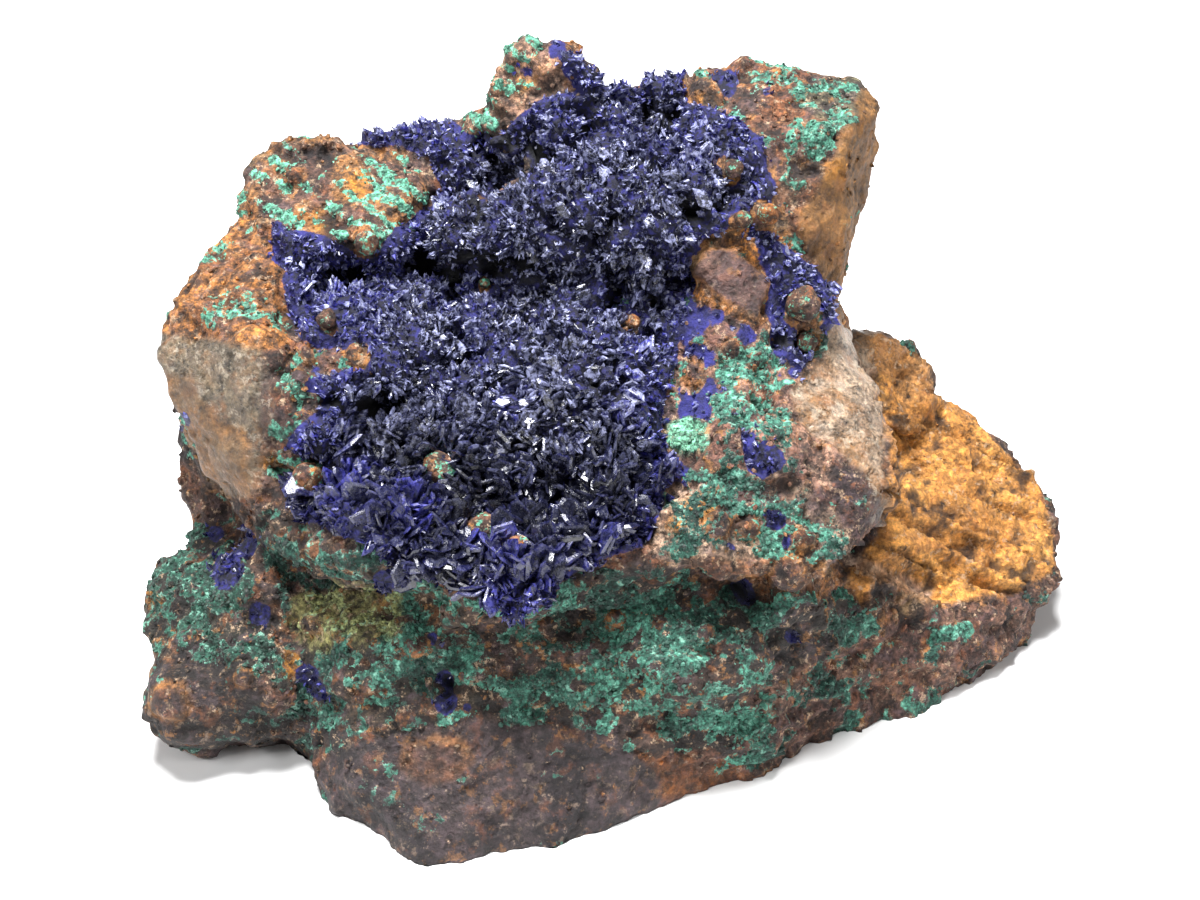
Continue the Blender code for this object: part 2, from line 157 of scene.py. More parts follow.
def roughness_noise(places, size, layers=4, seed=0):
    """Lumps with finer lumps on them, from about -1 to 1."""
    heights = [lumps(places, size / 2**layer, seed + layer) / 2**layer for layer in range(layers)]
    return sum(heights) / 1.4


def three_numbers(cells, seed):
    return np.stack([scramble(*cells.T, seed + axis) for axis in range(3)], 1)


def seeds_near(places, size, seed):
    """The 27 lattice cells around each place, and the way from each one's scattered seed to the place."""
    scaled = places / size
    cell = np.floor(scaled).astype(np.int64)
    for step in np.ndindex(3, 3, 3):
        there = cell + step - 1
        yield there, scaled - there - three_numbers(there, seed)


def bead_noise(places, size, seed=0):
    """Distance to the nearest seed, in units of size: 0 at a bead's middle, about 1 between beads."""
    return np.min([np.linalg.norm(away, axis=1) for _, away in seeds_near(places, size, seed)], axis=0)


def chipped_noise(places, size, seed=0):
    """Flat chips at odd tilts, from about -1 to 1: the height of the nearest seed's own tilted plane."""
    nearest, height = np.full(len(places), np.inf), np.zeros(len(places))
    for there, away in seeds_near(places, size, seed):
        distance = np.linalg.norm(away, axis=1)
        closer = distance < nearest
        nearest = np.where(closer, distance, nearest)
        slope = three_numbers(there, seed + 5) * 2 - 1
        height = np.where(closer, np.einsum("ij,ij->i", away, slope), height)
    return height


sample = np.random.default_rng(1).uniform(-50, 50, (2000, 3))
print("noise runs from", lumps(sample, 5).min().round(2), "to", lumps(sample, 5).max().round(2))

# %% [markdown]
# ## A finer skin for the stone
#
# The solid stone has flat facets a few millimetres wide. A sculptor would add detail by hand; here the body is
# remeshed into small, even squares and smoothed, which gives every later step about a hundred and fifty thousand
# points to move and colour. A voxel remesh is chosen over subdividing because it gives the same density everywhere.

# %% Remesh the stone
SQUARE = 0.52
SMOOTHINGS = 3


def fine_copy(node):
    """A copy of a solid, remeshed in small squares and smoothed."""
    made = add(node + "_skin", frame["nodes"][node].data.copy())
    remesh = made.modifiers.new("remesh", "REMESH")
    remesh.mode = "VOXEL"
    remesh.voxel_size = SQUARE * MM
    soften = made.modifiers.new("soften", "SMOOTH")
    soften.factor = 0.5
    soften.iterations = SMOOTHINGS
    made.data = bpy.data.meshes.new_from_object(made.evaluated_get(bpy.context.evaluated_depsgraph_get()))
    made.modifiers.clear()
    return made


def rows_of(mesh, what):
    """One row for each point of a mesh: its place in metres ("co") or its way outward ("normal")."""
    rows = np.empty(len(mesh.vertices) * 3)
    mesh.vertices.foreach_get(what, rows)
    return rows.reshape(-1, 3)


stone = fine_copy("matrix_stone")
skin = rows_of(stone.data, "co") / MM
outward = rows_of(stone.data, "normal")
faces = np.array([list(f.vertices) for f in stone.data.polygons if len(f.vertices) == 4])
print("the skin has", len(skin), "points and", len(faces), "faces")

# %% [markdown]
# ## Which points face the viewer
#
# An outline on the paper would also catch the stone's back, because that falls on the same spot of the paper. So a
# point counts as drawn only if it faces the eye and nothing stands in front of it. A ray from the eye to the point
# tells: if it meets the stone much earlier, the point is hidden.

# %% Find the side that is drawn
paper = drawn(skin)
toward = EYE - skin
toward /= np.linalg.norm(toward, axis=1)[:, None]
facing = np.einsum("ij,ij->i", toward, outward)
tree = BVHTree.FromPolygons(skin.tolist(), faces.tolist())


def hidden_by(place):
    """How far in front of this place the stone blocks the sight, in millimetres."""
    sight = Vector(place - EYE)
    hit = tree.ray_cast(Vector(EYE), sight)
    return sight.length - hit[3] if hit[3] is not None else 0


blocked = np.array([hidden_by(place) for place in skin])
seen = rise(facing, -0.25, 0.05) * (1 - rise(blocked, 2.5, 5))
print(f"{(seen > 0.5).mean():.0%} of the points are on the drawn side")

# %% [markdown]
# ## The minerals, patch by patch
#
# Each patch has a name, a ground colour, a second colour that mottles it, and a share of green malachite. They are
# laid over each other in order, like coats of paint, and each one's edge is broken up by noise. The undersides and
# the back, which no outline reaches, get the same minerals from broad noise alone.

# %% Colours
def linear(code):
    """A colour as light adds it, from the hexadecimal code that a screen shows."""
    parts = np.array([int(code[i:i + 2], 16) for i in (1, 3, 5)]) / 255
    return np.where(parts <= 0.04045, parts / 12.92, ((parts + 0.055) / 1.055) ** 2.4)


def blend(first, second, share):
    """From the first colour to the second, by a share for each point."""
    share = np.reshape(share, (-1, 1))
    return first * (1 - share) + second * share


BROWN, UMBER, OCHRE, TAN = linear("#5a3d30"), linear("#3c2c29"), linear("#a0662a"), linear("#8a6f4e")
print("ochre as light:", OCHRE.round(3))

# %% Outlines of the hollow and of a small pocket, right and up on the paper in millimetres
HOLLOW = [
    (-31.9, 38.5), (-25, 39.8), (-19, 41), (-16.3, 38.8), (-12.5, 40), (-8.8, 42.5), (-6.9, 43.8), (-2.5, 44.4),
    (-3.1, 46.3), (-5.5, 48.8), (-5, 50.3), (-1.3, 47.5), (4.4, 45.3), (5.6, 46.8), (11.3, 46.8), (12.5, 43.8),
    (16.9, 41.3), (20, 38.8), (20.6, 35), (21.9, 33.1), (21.3, 30), (21.9, 26.3), (25, 23.8), (28.5, 20), (28.8, 16.3),
    (26.9, 12.5), (25, 9.8), (22.5, 12.5), (21.3, 17.5), (20.6, 22.5), (18.8, 26.3), (16.9, 28.1), (13.1, 26.9),
    (11.3, 23.8), (12.5, 18.8), (10, 12.5), (8.1, 6.3), (7.5, 2.5), (9, -1), (11.3, -3.8), (8.1, -6.3), (6.3, -10),
    (5, -12.5), (0, -13.8), (-5, -15.6), (-6.9, -18.8), (-10.6, -20.3), (-13.8, -18.8), (-16.3, -16.9), (-21.3, -16.3),
    (-25, -15), (-27.5, -11.9), (-33.8, -10), (-37.5, -8.1), (-38.8, -5), (-36.3, -2.5), (-33.8, -3.8), (-34.4, -0.6),
    (-38.8, 0.6), (-37.5, 2.5), (-33.8, 6.3), (-36.3, 8.1), (-32.5, 10), (-29.4, 11.3), (-32.5, 13.1), (-36.9, 12.5),
    (-38.8, 17.5), (-40, 21.3), (-40.6, 28.5), (-37.5, 26.9), (-31.9, 25.6), (-26.9, 26.3), (-21.9, 30), (-20.6, 32.5),
    (-21.3, 36.3), (-24.4, 37.5)
]
POCKET = [
    (17.8, 2.5), (19.4, 2.5), (22.2, -2.5), (20.6, -4), (18.5, -2.5)
]
print("the hollow's outline has", len(HOLLOW), "corners")

# %% Patches: ground colour, second colour, share of malachite, raggedness, and the outline
PATCHES = {
    # Partly painted shade: the lower front is given darker colours, for a face that gets less light from above.
    "lower front": ("#43332c", "#292523", 0.68, 2.2, [
        (-43.8, -6.2), (-37.5, -8.1), (-27.5, -11.9), (-16.2, -17.5), (-6.9, -20.2), (5, -13.8), (11.2, -14.4),
        (20, -17.5), (32.5, -18.8), (28.8, -31.2), (18.1, -39.4), (0, -40), (-32.5, -38.8), (-38.8, -37.5),
        (-39.4, -23.8), (-43.8, -13.8)]),
    "left front": ("#4a3a2c", "#2b2822", 0.8, 2.6, [
        (-43, -9), (-26, -13.5), (-17, -19), (-15, -28), (-20, -35), (-33, -36.5), (-38, -31), (-40, -19)]),
    # Dark green rock and painted shade: this patch is darkened where the bench overhangs it.
    "dark green front with painted shade": ("#2e2924", "#1e1c1b", 0.66, 2.6, [
        (8, -16.5), (20, -18.5), (31, -19.5), (31, -25), (20, -27), (6, -22.5)]),
    "lower right": ("#5a3f37", "#745444", 0.5, 2.0, [
        (18.1, -31.2), (31.2, -23.8), (42.5, -19.4), (56.2, -15), (58.8, -16.2), (48.1, -28.8), (39, -33.8),
        (28.8, -38.8), (18.1, -41)]),
    "slab": ("#d8984a", "#b87c38", 0.02, 1.2, [
        (31.2, 14.4), (40.6, 11.9), (42.5, 6.2), (46.2, 3.8), (55.6, -5), (57.8, -14), (51.2, -17.5), (41.2, -18.8),
        (35, -15.6), (32.5, -18.8), (30.6, -15), (35, -8.8), (36, 1.2), (33.8, 8.8)]),
    "shoulder": ("#a66c34", "#74492a", 0.35, 1.0, [
        (-54.4, 18.8), (-50, 24.4), (-45.6, 28.1), (-40.6, 28.1), (-39.4, 20), (-38.8, 13.1), (-42.2, 12.2),
        (-55.4, 15)]),
    # Partly painted shade: the left quartz is given darker colours than the right quartz, for its steep side that gets
    # less light.
    "left quartz": ("#746550", "#5a5042", 0.0, 0.8, [
        (-56, 15), (-51.9, 14.4), (-42.2, 12.5), (-41, 6.2), (-42.2, -5), (-45.6, -6.2), (-49.4, -2.5), (-53, 3.8),
        (-56, 10)]),
    "stained quartz": ("#8a6034", "#74593c", 0.26, 1.4, [
        (-55, 9.5), (-51.5, 8.5), (-47.9, 4), (-43.4, 1), (-43.5, -5.6), (-46, -6.5), (-49.6, -3), (-53.4, 4.5)]),
    "left strip": ("#4a332c", "#634c3e", 0.6, 1.2, [
        (-42.2, 12.5), (-35, 11.9), (-33.8, 0), (-36.2, -8.8), (-42.2, -5)]),
    "upper left": ("#8f6238", "#5a4036", 0.56, 0.8, [
        (-45, 29.4), (-44.4, 33.8), (-39.4, 40), (-32.5, 40), (-25, 37.2), (-21.2, 35.6), (-21, 30.6), (-26.9, 26.2),
        (-32.5, 25.6), (-37.5, 26.9), (-40.6, 28.5)]),
    "peak": ("#bb8e70", "#7c6252", 0.44, 0.7, [
        (-18.1, 40.6), (-10, 51.9), (-6.5, 51.2), (-5.5, 48.8), (-3.1, 46.2), (-2.5, 44.4), (-6.9, 43.8),
        (-8.8, 41.9), (-11.2, 40), (-15.6, 38.8)]),
    "right block": ("#5b4239", "#7a4c30", 0.46, 0.8, [
        (11.2, 47.5), (18.8, 49.4), (33.8, 46.9), (35.6, 42.5), (34, 33.8), (31.2, 21.2), (29.8, 17.5), (25, 23.8),
        (21.9, 33.1), (20, 38.8), (16.9, 41.2), (12.5, 43.8)]),
    "right block side": ("#9a6e3c", "#825a2e", 0.03, 1.0, [
        (33.5, 45.5), (36, 41), (34.6, 31.2), (32.8, 23.7), (30, 16.5), (28.5, 20.6), (25, 26.9), (24.4, 29.4),
        (26.5, 32.5), (29.4, 37.5), (31.2, 43.1)]),
    "green corner": ("#5f5a44", "#4c4436", 0.75, 1.6, [(25, 46), (32.5, 46), (31.5, 41), (29, 39.5), (26, 42)]),
    "green band": ("#5f4a3a", "#6c4630", 0.85, 1.4, [
        (24, 42), (29, 41), (28.8, 37.5), (26, 33), (23.8, 29), (21.8, 26.5), (21.2, 31), (23.4, 36)]),
    "right slope": ("#765246", "#94725f", 0.54, 1.2, [
        (8.1, 17.5), (12.5, 18.8), (20, 15), (25, 8.8), (28.8, 1.2), (32.5, -2.5), (31.2, -5.6), (20, -3.8),
        (12.5, -0.6), (8.1, 6.2)]),
    "plates": ("#5b4340", "#6d4f45", 0.06, 0.4, [
        (12.9, 25.3), (16.9, 24.9), (21, 21.1), (19.4, 15.9), (14.5, 19.3), (12.1, 22.1)]),
    "right quartz": ("#a8917a", "#8a6642", 0.06, 0.8, [
        (23.8, 6.9), (27.8, 12.2), (29, 16), (35, 14.4), (38.1, 12.2), (34, 9.8), (35.6, 2.5), (36, -6.2),
        (34.4, -11.2), (32.5, -2.5), (28.8, 1.2), (25, 3.8)]),
    "bench": ("#a68a74", "#5a433d", 0.64, 1.0, [
        (11.2, -2.5), (20, -3.8), (31.2, -5), (35, -8.8), (32.5, -13.8), (12.5, -15.6), (6.2, -12.5), (7.5, -6.2)]),
    "bench end": ("#4a322e", "#36282a", 0.26, 0.8, [
        (29.5, -0.5), (33, -3), (35, -6), (35, -11), (32.5, -13), (30, -9), (28.8, -4)]),
    "slab top": ("#c08a50", "#a8743c", 0.0, 0.8, [(33.5, 13.5), (40.6, 12), (42.5, 6.5), (38, 5.5), (35.5, 9)]),
    "pale streak": ("#d0b09a", "#b88f6c", 0.1, 0.8, [
        (31, -12.6), (36, -14.6), (42, -17.6), (41, -18.8), (34, -16), (30.5, -14.4)]),
    "under the bench": ("#7c573c", "#59392a", 0.1, 0.7, [(11.2, -13.5), (27.5, -14), (27.5, -17.8), (11.2, -16.5)]),
    # Partly painted shade: the base face is given darker colours, as it faces partly down, away from the light.
    "base face": ("#463a3b", "#2c2528", 0.16, 1.6, [
        (-31.9, -35.6), (-15, -34.4), (-5, -35), (5, -38.1), (15, -39.4), (20, -42.5), (-6.9, -52), (-22.2, -55),
        (-33.8, -46), (-36.2, -40)]),
    "rust swirl": ("#6f4c3a", "#543c34", 0.02, 1.2, [
        (-24.5, -36.2), (-21, -35.4), (-17.5, -36.4), (-16.2, -38.5), (-18, -41), (-22, -42), (-25, -40)]),
    "low rust": ("#8c5326", "#5c3d2f", 0.06, 1.6, [(4, -37.5), (13, -38), (20, -41), (8, -42.5)]),
    "sulphur patch": ("#8f8a58", "#5f5c3c", 0.66, 3.4, [
        (-41.2, -17), (-33, -16), (-26, -18.5), (-24, -22.5), (-29, -25), (-37, -24)]),
    "green foot": ("#28261f", "#1b1b17", 0.76, 1.6, [
        (-58.5, -16.2), (-50, -9.4), (-43.8, -13.8), (-38.8, -23.8), (-37.5, -31.2), (-43.8, -28.8), (-57, -25)]),
    "brown foot": ("#211b19", "#181413", 0.34, 1.8, [
        (-57, -25), (-43.8, -28.8), (-37.5, -36.2), (-45, -38.8), (-55, -38), (-59.5, -31.2)]),
    "mint spot": ("#7fb89a", "#5f9f80", 1.0, 0.4, [
        (8.5, 3.1), (11.2, 4.4), (13.5, 2.8), (13.2, 0.2), (10.6, -0.8), (8.5, 0.6)]),
}
print(len(PATCHES), "patches are drawn")

# %% Lay the patches over the ground
edge_noise = roughness_noise(skin, 5, 4, seed=40)
mottle = roughness_noise(skin, 4.5, 5, seed=50)
broad = roughness_noise(skin, 26, 3, seed=60)


def cover(outline, ragged, softness=0.5):
    """How much of each point this patch covers, from 0 to 1."""
    return seen * rise(depth_inside(outline, paper) + ragged * edge_noise, -softness, softness)


streak = rise(mottle, -0.25, 0.35)
tint = blend(blend(BROWN, UMBER, streak), blend(OCHRE, TAN, streak), rise(broad, -0.1, 0.25))
greenness = 0.2 + 0.2 * rise(-broad, 0, 0.5)
amounts = {}
for name, (ground, second, green, ragged, outline) in PATCHES.items():
    amounts[name] = amount = cover(outline, ragged)
    tint = blend(tint, blend(linear(ground), linear(second), streak), amount)
    greenness = greenness * (1 - amount) + green * amount
print({name: f"{(amount > 0.5).mean():.1%}" for name, amount in amounts.items()})

# %% [markdown]
# ## Round marks
#
# Much on the stone is small and roundish: specks and washes of blue, spots of mint green and yellow, brown nodules,
# and the dark caves between clumps of azurite. An outline for each would be long, so a mark is only a place on the
# paper and a radius, and the same noise makes its edge uneven.

# %% The marks: right, up and radius in millimetres
BLUE_SPECKS = [
    (-46.5, -15, 2.0), (-44.6, -12, 1.5), (-48, -10.5, 1.2), (-36.5, -28, 1.1), (-35.2, -30, 1.0), (-18.8, -31.6, 1.6),
    (-16.5, -32.2, 1.2), (23.5, -11.5, 1.4), (22, -9, 1.1), (-52.6, 3.6, 1.0), (17.5, -17.6, 1.6), (24, -23.4, 0.8),
    (-21, -23.6, 1.0), (15.5, 46.2, 1.8), (-27, -16.5, 1.6), (-19.5, -28.5, 1.0), (-42.5, -20.5, 1.2), (20.6, -1, 1.8)
]
BLUE_WASH = [
    (12.5, 14.6, 1.2), (14.2, 11, 0.9), (11.2, 7.2, 1.2), (18, 5, 1.0), (21.2, 13.6, 1.4), (15.4, 7.6, 0.8),
    (10.4, 19.6, 1.0), (22.4, 9.4, 0.8), (9.6, -2.6, 1.0), (24.2, 9.6, 0.9), (13.2, 17.4, 0.8), (-34.4, 1.6, 1.2),
    (-35.6, 10, 0.8), (20.8, 44.8, 1.0), (16.6, -12.2, 0.8), (12, 15.6, 2.4), (13, 11.6, 2.2), (13.2, 8, 2.0),
    (12.2, 5, 1.8), (10.8, 2.4, 1.2), (22.4, 19.4, 2.0), (22.4, 22.6, 2.0), (18.6, 14, 1.7), (11.4, 25.4, 1.3),
    (14.4, 16.4, 1.1), (20.6, 24.6, 1.1), (-5.2, 50, 1.0), (-9, 47.4, 0.9), (17.2, 37.6, 1.0)
]
MINT_SPECKS = [
    (12.6, 13.8, 0.8), (11.6, 18, 0.7), (15.2, 8.4, 0.8), (10.4, 9.6, 0.7), (13.8, 6.6, 0.6), (-14, 1.4, 0.6),
    (-20.5, 5.6, 0.6), (-19.4, 8, 0.6), (2.6, 17.4, 0.5), (-23.8, 27, 0.8), (-28.6, -13, 0.8)
]
YELLOW_SPOTS = [
    (12.5, -7.6, 1.5), (9.6, -9.4, 0.9), (14.2, -5, 0.8), (-40.8, -1.4, 1.0), (-35, 28.6, 1.4), (-30, 33, 1.6),
    (-38.5, -26.6, 1.2), (-56, -19, 1.0), (8.4, 43.8, 1.0), (14, 42.6, 1.2), (29, 35, 1.2), (-26, -20, 1.4),
    (16.4, 33.6, 0.9), (-9.5, 45.6, 1.2)
]
NODULES = [
    (-19.8, -2.6, 2.1), (-14.6, -11.5, 2.0), (-30.4, 11.4, 1.5), (-29.4, 26.2, 1.5), (-35.5, -3.2, 1.9),
    (-14.2, 20, 0.7), (3.4, 15.2, 0.9), (16.4, 34.6, 1.2), (19.8, 29.4, 1.3), (16.8, 28.6, 1.1), (14.6, -9.4, 1.7),
    (18.6, -9.8, 1.5), (25, -11.2, 1.8), (11.6, 9.4, 1.6), (-9.8, -13.6, 1.2), (-33.5, 14.6, 1.2), (12.8, 44.6, 1.9),
    (-22.6, -24.4, 1.5), (24.8, 16.8, 2.1), (26, 13.4, 1.3), (23.4, -15.4, 2.2), (-37.6, 8.6, 1.3), (-36.4, 11.8, 1.1),
    (16.4, 12.4, 1.4), (19.4, 11.2, 1.2), (-44.5, -28.5, 1.2), (-53.6, -31.5, 2.4), (-36, -22, 1.1), (2, -21, 1.6),
    (13, -23, 1.4), (-38, 34, 1.3)
]
CAVES = [
    (-15.5, 38, 1.8), (-12, 38.2, 1.8), (-21.5, 23, 2.2), (-17.5, 22.4, 2.4), (-13.6, 22.6, 1.8), (-10, -5.5, 2.2),
    (-6, -7.2, 2.4), (-2.5, -5.4, 1.8), (4.6, -1.5, 2.0), (5.6, -4.6, 1.6), (-33, 6, 1.4), (-29.5, 5.2, 1.8),
    (-26.4, 5.6, 1.4), (6, 42.6, 1.4), (9.4, 41.6, 1.8), (12.4, 29.4, 1.6), (15, 31.2, 1.4), (22.5, 13.6, 1.6),
    (25.2, 13.2, 1.5), (16.5, -17.8, 1.6), (19.5, -19.2, 1.8), (-19, -7, 1.6), (-24, -1, 1.4), (-14, 5, 1.3),
    (-19, -29.6, 1.2), (-1, 8.6, 1.2)
]


def round_spots(marks, softness=0.5, ragged=0.7):
    """How much each point is covered by round marks."""
    total = np.zeros(len(paper))
    for right, up, radius in marks:
        distance = np.hypot(paper[:, 0] - right, paper[:, 1] - up) + ragged * edge_noise * min(radius, 2)
        total = np.maximum(total, seen * rise(-distance, -radius - softness, -radius + softness))
    return total


def wider(marks, more):
    return [(right, up, radius + more) for right, up, radius in marks]


cave, nodule, blue_specks = round_spots(CAVES, 0.9), round_spots(NODULES, 0.3), round_spots(BLUE_SPECKS)
print("marks:", len(BLUE_SPECKS + BLUE_WASH), "blue,", len(NODULES), "nodules,", len(CAVES), "caves")

# %% [markdown]
# ## Where the azurite is
#
# The azurite fills the hollow and a few small pockets. Brown and green windows stay open in it where the stone
# shows through. Everything that grows on the stone later asks these same numbers, so the blue ground and the
# blades on it can't drift apart.

# %% The azurite's cover
rim_depth = depth_inside(HOLLOW, paper)
pocket = cover(POCKET, 0.5, 0.4)
nearly_seen = rise(facing, -0.35, 0) * (1 - rise(blocked, 8, 14))
azurite = np.maximum(nearly_seen * rise(rim_depth + 1.2 * edge_noise, -0.6, 0.6), pocket)
azurite = np.maximum(np.maximum(azurite, blue_specks), 0.8 * round_spots(BLUE_WASH, 0.9, 1.4))
azurite *= (1 - round_spots(wider(NODULES, 0.2))) * (1 - amounts["mint spot"])
print(f"azurite covers {(azurite > 0.5).mean():.1%} of the skin")

# %% [markdown]
# ## Where the malachite is
#
# Malachite grows as soft green crusts with lacy edges. Its noise has many layers, so a crust breaks up into
# threads and dots, and the threshold falls as a patch's share of green rises. Stretching the noise sideways gives
# the streaks that follow the beds of the stone.

# %% The malachite's cover
stretched = skin * np.array([0.5, 0.5, 1.0])
knobs = 1 - bead_noise(skin + 0.6 * lumps(skin, 2, 83)[:, None], 3.0, 84)
lace = roughness_noise(stretched, 2.6, 5, seed=70) * 0.62 + roughness_noise(skin, 9, 3, seed=75) * 0.3
thread = 1 - np.abs(roughness_noise(skin, 1.9, 4, seed=78)) * 3.2
stripe = np.sin(paper @ np.array([1.5, 2.1]) + 2.2 * edge_noise)
greenness += 0.22 * stripe * np.maximum(amounts["upper left"], amounts["peak"])
greenness += 0.25 * (round_spots(wider(NODULES, 0.8)) - nodule)
greenness -= 0.35 * rise(knobs, 0.5, 0.65)
malachite = rise(lace + 0.14 * thread, 0.34 - 0.98 * greenness, 0.84 - 0.98 * greenness) * (1 - azurite)
malachite *= (1 - np.maximum(amounts["left quartz"], amounts["right quartz"]) * 0.9) * (1 - 0.6 * nodule)
malachite = np.maximum(malachite, np.maximum(amounts["mint spot"], round_spots(MINT_SPECKS)))
green_tint = blend(linear("#193c33"), linear("#437a68"), rise(roughness_noise(skin, 6, 4, seed=105), -0.35, 0.4))
for name, code in {"mint spot": "#76b694", "sulphur patch": "#9a9c62", "upper left": "#5fa388", "peak": "#5fa388",
                   "right block": "#46806c", "shoulder": "#4f8a74", "left strip": "#467f6b", "green foot": "#1b4033",
                   "dark green front with painted shade": "#204a3e"}.items():
    green_tint = blend(green_tint, linear(code), 0.75 * amounts[name])
print(f"malachite covers {(malachite > 0.5).mean():.1%} of the skin")

# %% [markdown]
# ## The relief of each mineral
#
# Quartz breaks in smooth, shallow shells. Limonite is layered and grainy. Malachite is beaded, azurite stands up
# in clumps with deep gaps between them, and the brown rock is pitted and covered with flat knobs. Each gets its
# own noise, scaled by how much of that mineral is there, and the sum is a height in millimetres.

# %% Relief of the broken rock and the quartz
smooth_rock = np.clip(amounts["left quartz"] + amounts["right quartz"] + 0.6 * amounts["base face"]
                      + 0.7 * amounts["right block side"] + 0.8 * amounts["plates"] + 0.4 * amounts["brown foot"], 0, 1)
chips = 0.55 * chipped_noise(skin, 6.5, 85) + 0.3 * chipped_noise(skin, 2.8, 88)
rough = 0.5 * roughness_noise(skin, 5, 5, seed=90) + 0.5 * rise(knobs, 0.25, 0.6) + chips - 0.3
rough -= 0.5 * rise(-bead_noise(skin, 3.4, 91), -0.4, -0.1)
rough += 0.16 * lumps(skin, 0.95, 92) + 0.3 * roughness_noise(skin, 1.8, 3, seed=115)
shells = 0.35 * np.abs(lumps(skin, 7, 93)) + 0.7 * chipped_noise(skin, 7.5, 86)
relief = rough * (1 - 0.85 * smooth_rock) * (1 - azurite) * (1 - 0.5 * amounts["slab"])
relief += smooth_rock * (shells + 0.12 * roughness_noise(skin, 1.6, 3, seed=116))
print("broken rock from", relief.min().round(2), "to", relief.max().round(2), "mm")

# %% Relief of the beds and of the slab's ridges
slab = amounts["slab"]
layered = np.clip(slab + 0.4 * amounts["lower right"] + 0.3 * amounts["lower front"], 0, 1)
beds = (skin @ np.array([0.22, 0.1, 0.97]) + 1.6 * lumps(skin, 9, 81) + 0.5 * lumps(skin, 3, 82)) / 2.3
bed_edge = np.abs(beds - np.floor(beds) - 0.5) * 2
slope = skin @ np.array([0.55, 0.35, 0.76])
ledges = roughness_noise(np.stack([slope * 1.9, skin[:, 0] * 0.35, skin[:, 1] * 0.35], 1), 4.2, 4, seed=94)
steps = 0.8 * bed_edge * (1 - 0.6 * np.abs(outward[:, 2])) + 1.25 * ledges
steps = steps + 0.35 * roughness_noise(skin, 1.7, 3, seed=112) - 0.3
across, along = paper @ np.array([0.42, 0.9]), paper @ np.array([0.9, -0.42])
ridge_noise = roughness_noise(np.stack([across, 0.28 * along, 0 * along], 1), 4.5, 5, seed=95)
ridge = (across + 2.6 * ridge_noise) / 3.4
ridge -= np.floor(ridge)
relief += slab * (1.7 * ridge + 1.3 * ridge_noise - 0.8)
relief += layered * (1 - 0.7 * slab) * steps
print(f"layered on {(layered > 0.2).mean():.1%} of the skin")

# %% Relief of the malachite, the azurite, the caves and the nodules
CAVE_DEPTH, NODULE_HEIGHT, PLATE_HEIGHT, POCKET_DEPTH = 2.2, 1.3, 0.9, 0.9
RIDGE, RIDGE_HEIGHT = [(-8, 21.2, 2), (-4, 21, 2.2), (1, 21, 2.4), (6, 21.4, 2.4), (10, 22, 2)], 2.2
relief += malachite * (0.42 - 0.5 * bead_noise(skin, 0.95, 97) ** 2)
in_hollow = azurite * rise(rim_depth, -0.6, 0.8)
clump = 1 - bead_noise(skin + 1.2 * roughness_noise(skin, 3, 2, seed=98)[:, None], 4.4, 99)
low_down = rise(-paper[:, 1], -12, 6)
gap = in_hollow * rise(-clump - 0.06 * low_down, -0.46, -0.2) * rise(rim_depth, 1, 4)
relief += in_hollow * (0.1 + (1.5 + 1.1 * low_down) * rise(clump, 0.1, 0.7) + 0.3 * lumps(skin, 1.1, 100))
relief -= (2.0 + 1.2 * low_down) * gap
nearest_nodule = np.min([np.hypot(paper[:, 0] - right, paper[:, 1] - up) / radius for right, up, radius in NODULES], 0)
relief -= CAVE_DEPTH * cave
relief += RIDGE_HEIGHT * round_spots(RIDGE, 1.5) * azurite
relief += PLATE_HEIGHT * amounts["plates"]
relief -= POCKET_DEPTH * pocket
relief += NODULE_HEIGHT * seen * np.sqrt(np.clip(1 - nearest_nodule ** 2, 0, 1))
print("relief from", relief.min().round(2), "to", relief.max().round(2), "mm")

# %% [markdown]
# ## Moving the points
#
# A height map would only lift the points straight up, and a steep wall would stay smooth. So each point moves along
# its own way outward. The underside stays flat, because the stone rests on it. What lies deep is kept as painted
# shade: a darkening that stands in for the shadow in its pits, gaps and caves.

# %% Move the points
FLAT_BELOW = 0.4
finished = skin + outward * relief[:, None]
finished[:, 2] = np.where(skin[:, 2] < FLAT_BELOW, 0, np.maximum(finished[:, 2], 0))
stone.data.vertices.foreach_set("co", (finished * MM).ravel())
stone.data.update()
outward = rows_of(stone.data, "normal")
# Painted shade: the low spots of the broken rock, the gaps between azurite clumps, the caves and the troughs of the
# slab's ridges are marked to be coloured darker in place of their shadow.
painted_shade = rise(-rough - 0.1 * edge_noise, 0.12, 0.7) * (1 - azurite) * (1 - smooth_rock)
painted_shade = np.clip(painted_shade + gap + cave + 0.4 * slab * rise(-ridge, -0.16, -0.04), 0, 1)
print(f"crevices on {(painted_shade > 0.5).mean():.1%} of the skin")

# %% [markdown]
# ## Rims and stains
#
# The brown plates and the nodules have pale, worn rims, and iron has left a curved stain on the foot and yellow
# spots here and there. They are thin, so they are laid over the patches last.

# %% Rims, the curved stain and the yellow spots
rim_of_nodule = seen * rise(-np.abs(nearest_nodule - 0.95), -0.35, -0.05)
rim_of_plates = seen * rise(-np.abs(depth_inside(PATCHES["plates"][-1], paper)), -0.5, -0.1)
stain_depth = depth_inside(PATCHES["rust swirl"][-1], paper) + 0.8 * edge_noise
curved_stain = seen * rise(-np.abs(stain_depth - 0.4), -0.9, -0.2) * rise(paper[:, 1], -41, -38)
tint = blend(tint, blend(UMBER, linear("#7a4a2c"), streak), nodule)
for share, code in [(0.7 * rim_of_nodule, "#a5703c"), (0.7 * rim_of_plates, "#b07a48"), (0.6 * curved_stain, "#9a6a40"),
                    (0.8 * round_spots(YELLOW_SPOTS, 0.8), "#a9701f")]:
    tint = blend(tint, linear(code), share)
print("mean colour of the stone, as light:", tint.mean(0).round(3))

# %% [markdown]
# ## The dressed stone
#
# A finish can't ask Python where the malachite is, so every number and colour is stored on the mesh's points as an
# attribute, which a finish can read. The skin is cut into a front and a back, because one mesh would be too heavy,
# and both keep the whole skin's shading so that the cut doesn't show.

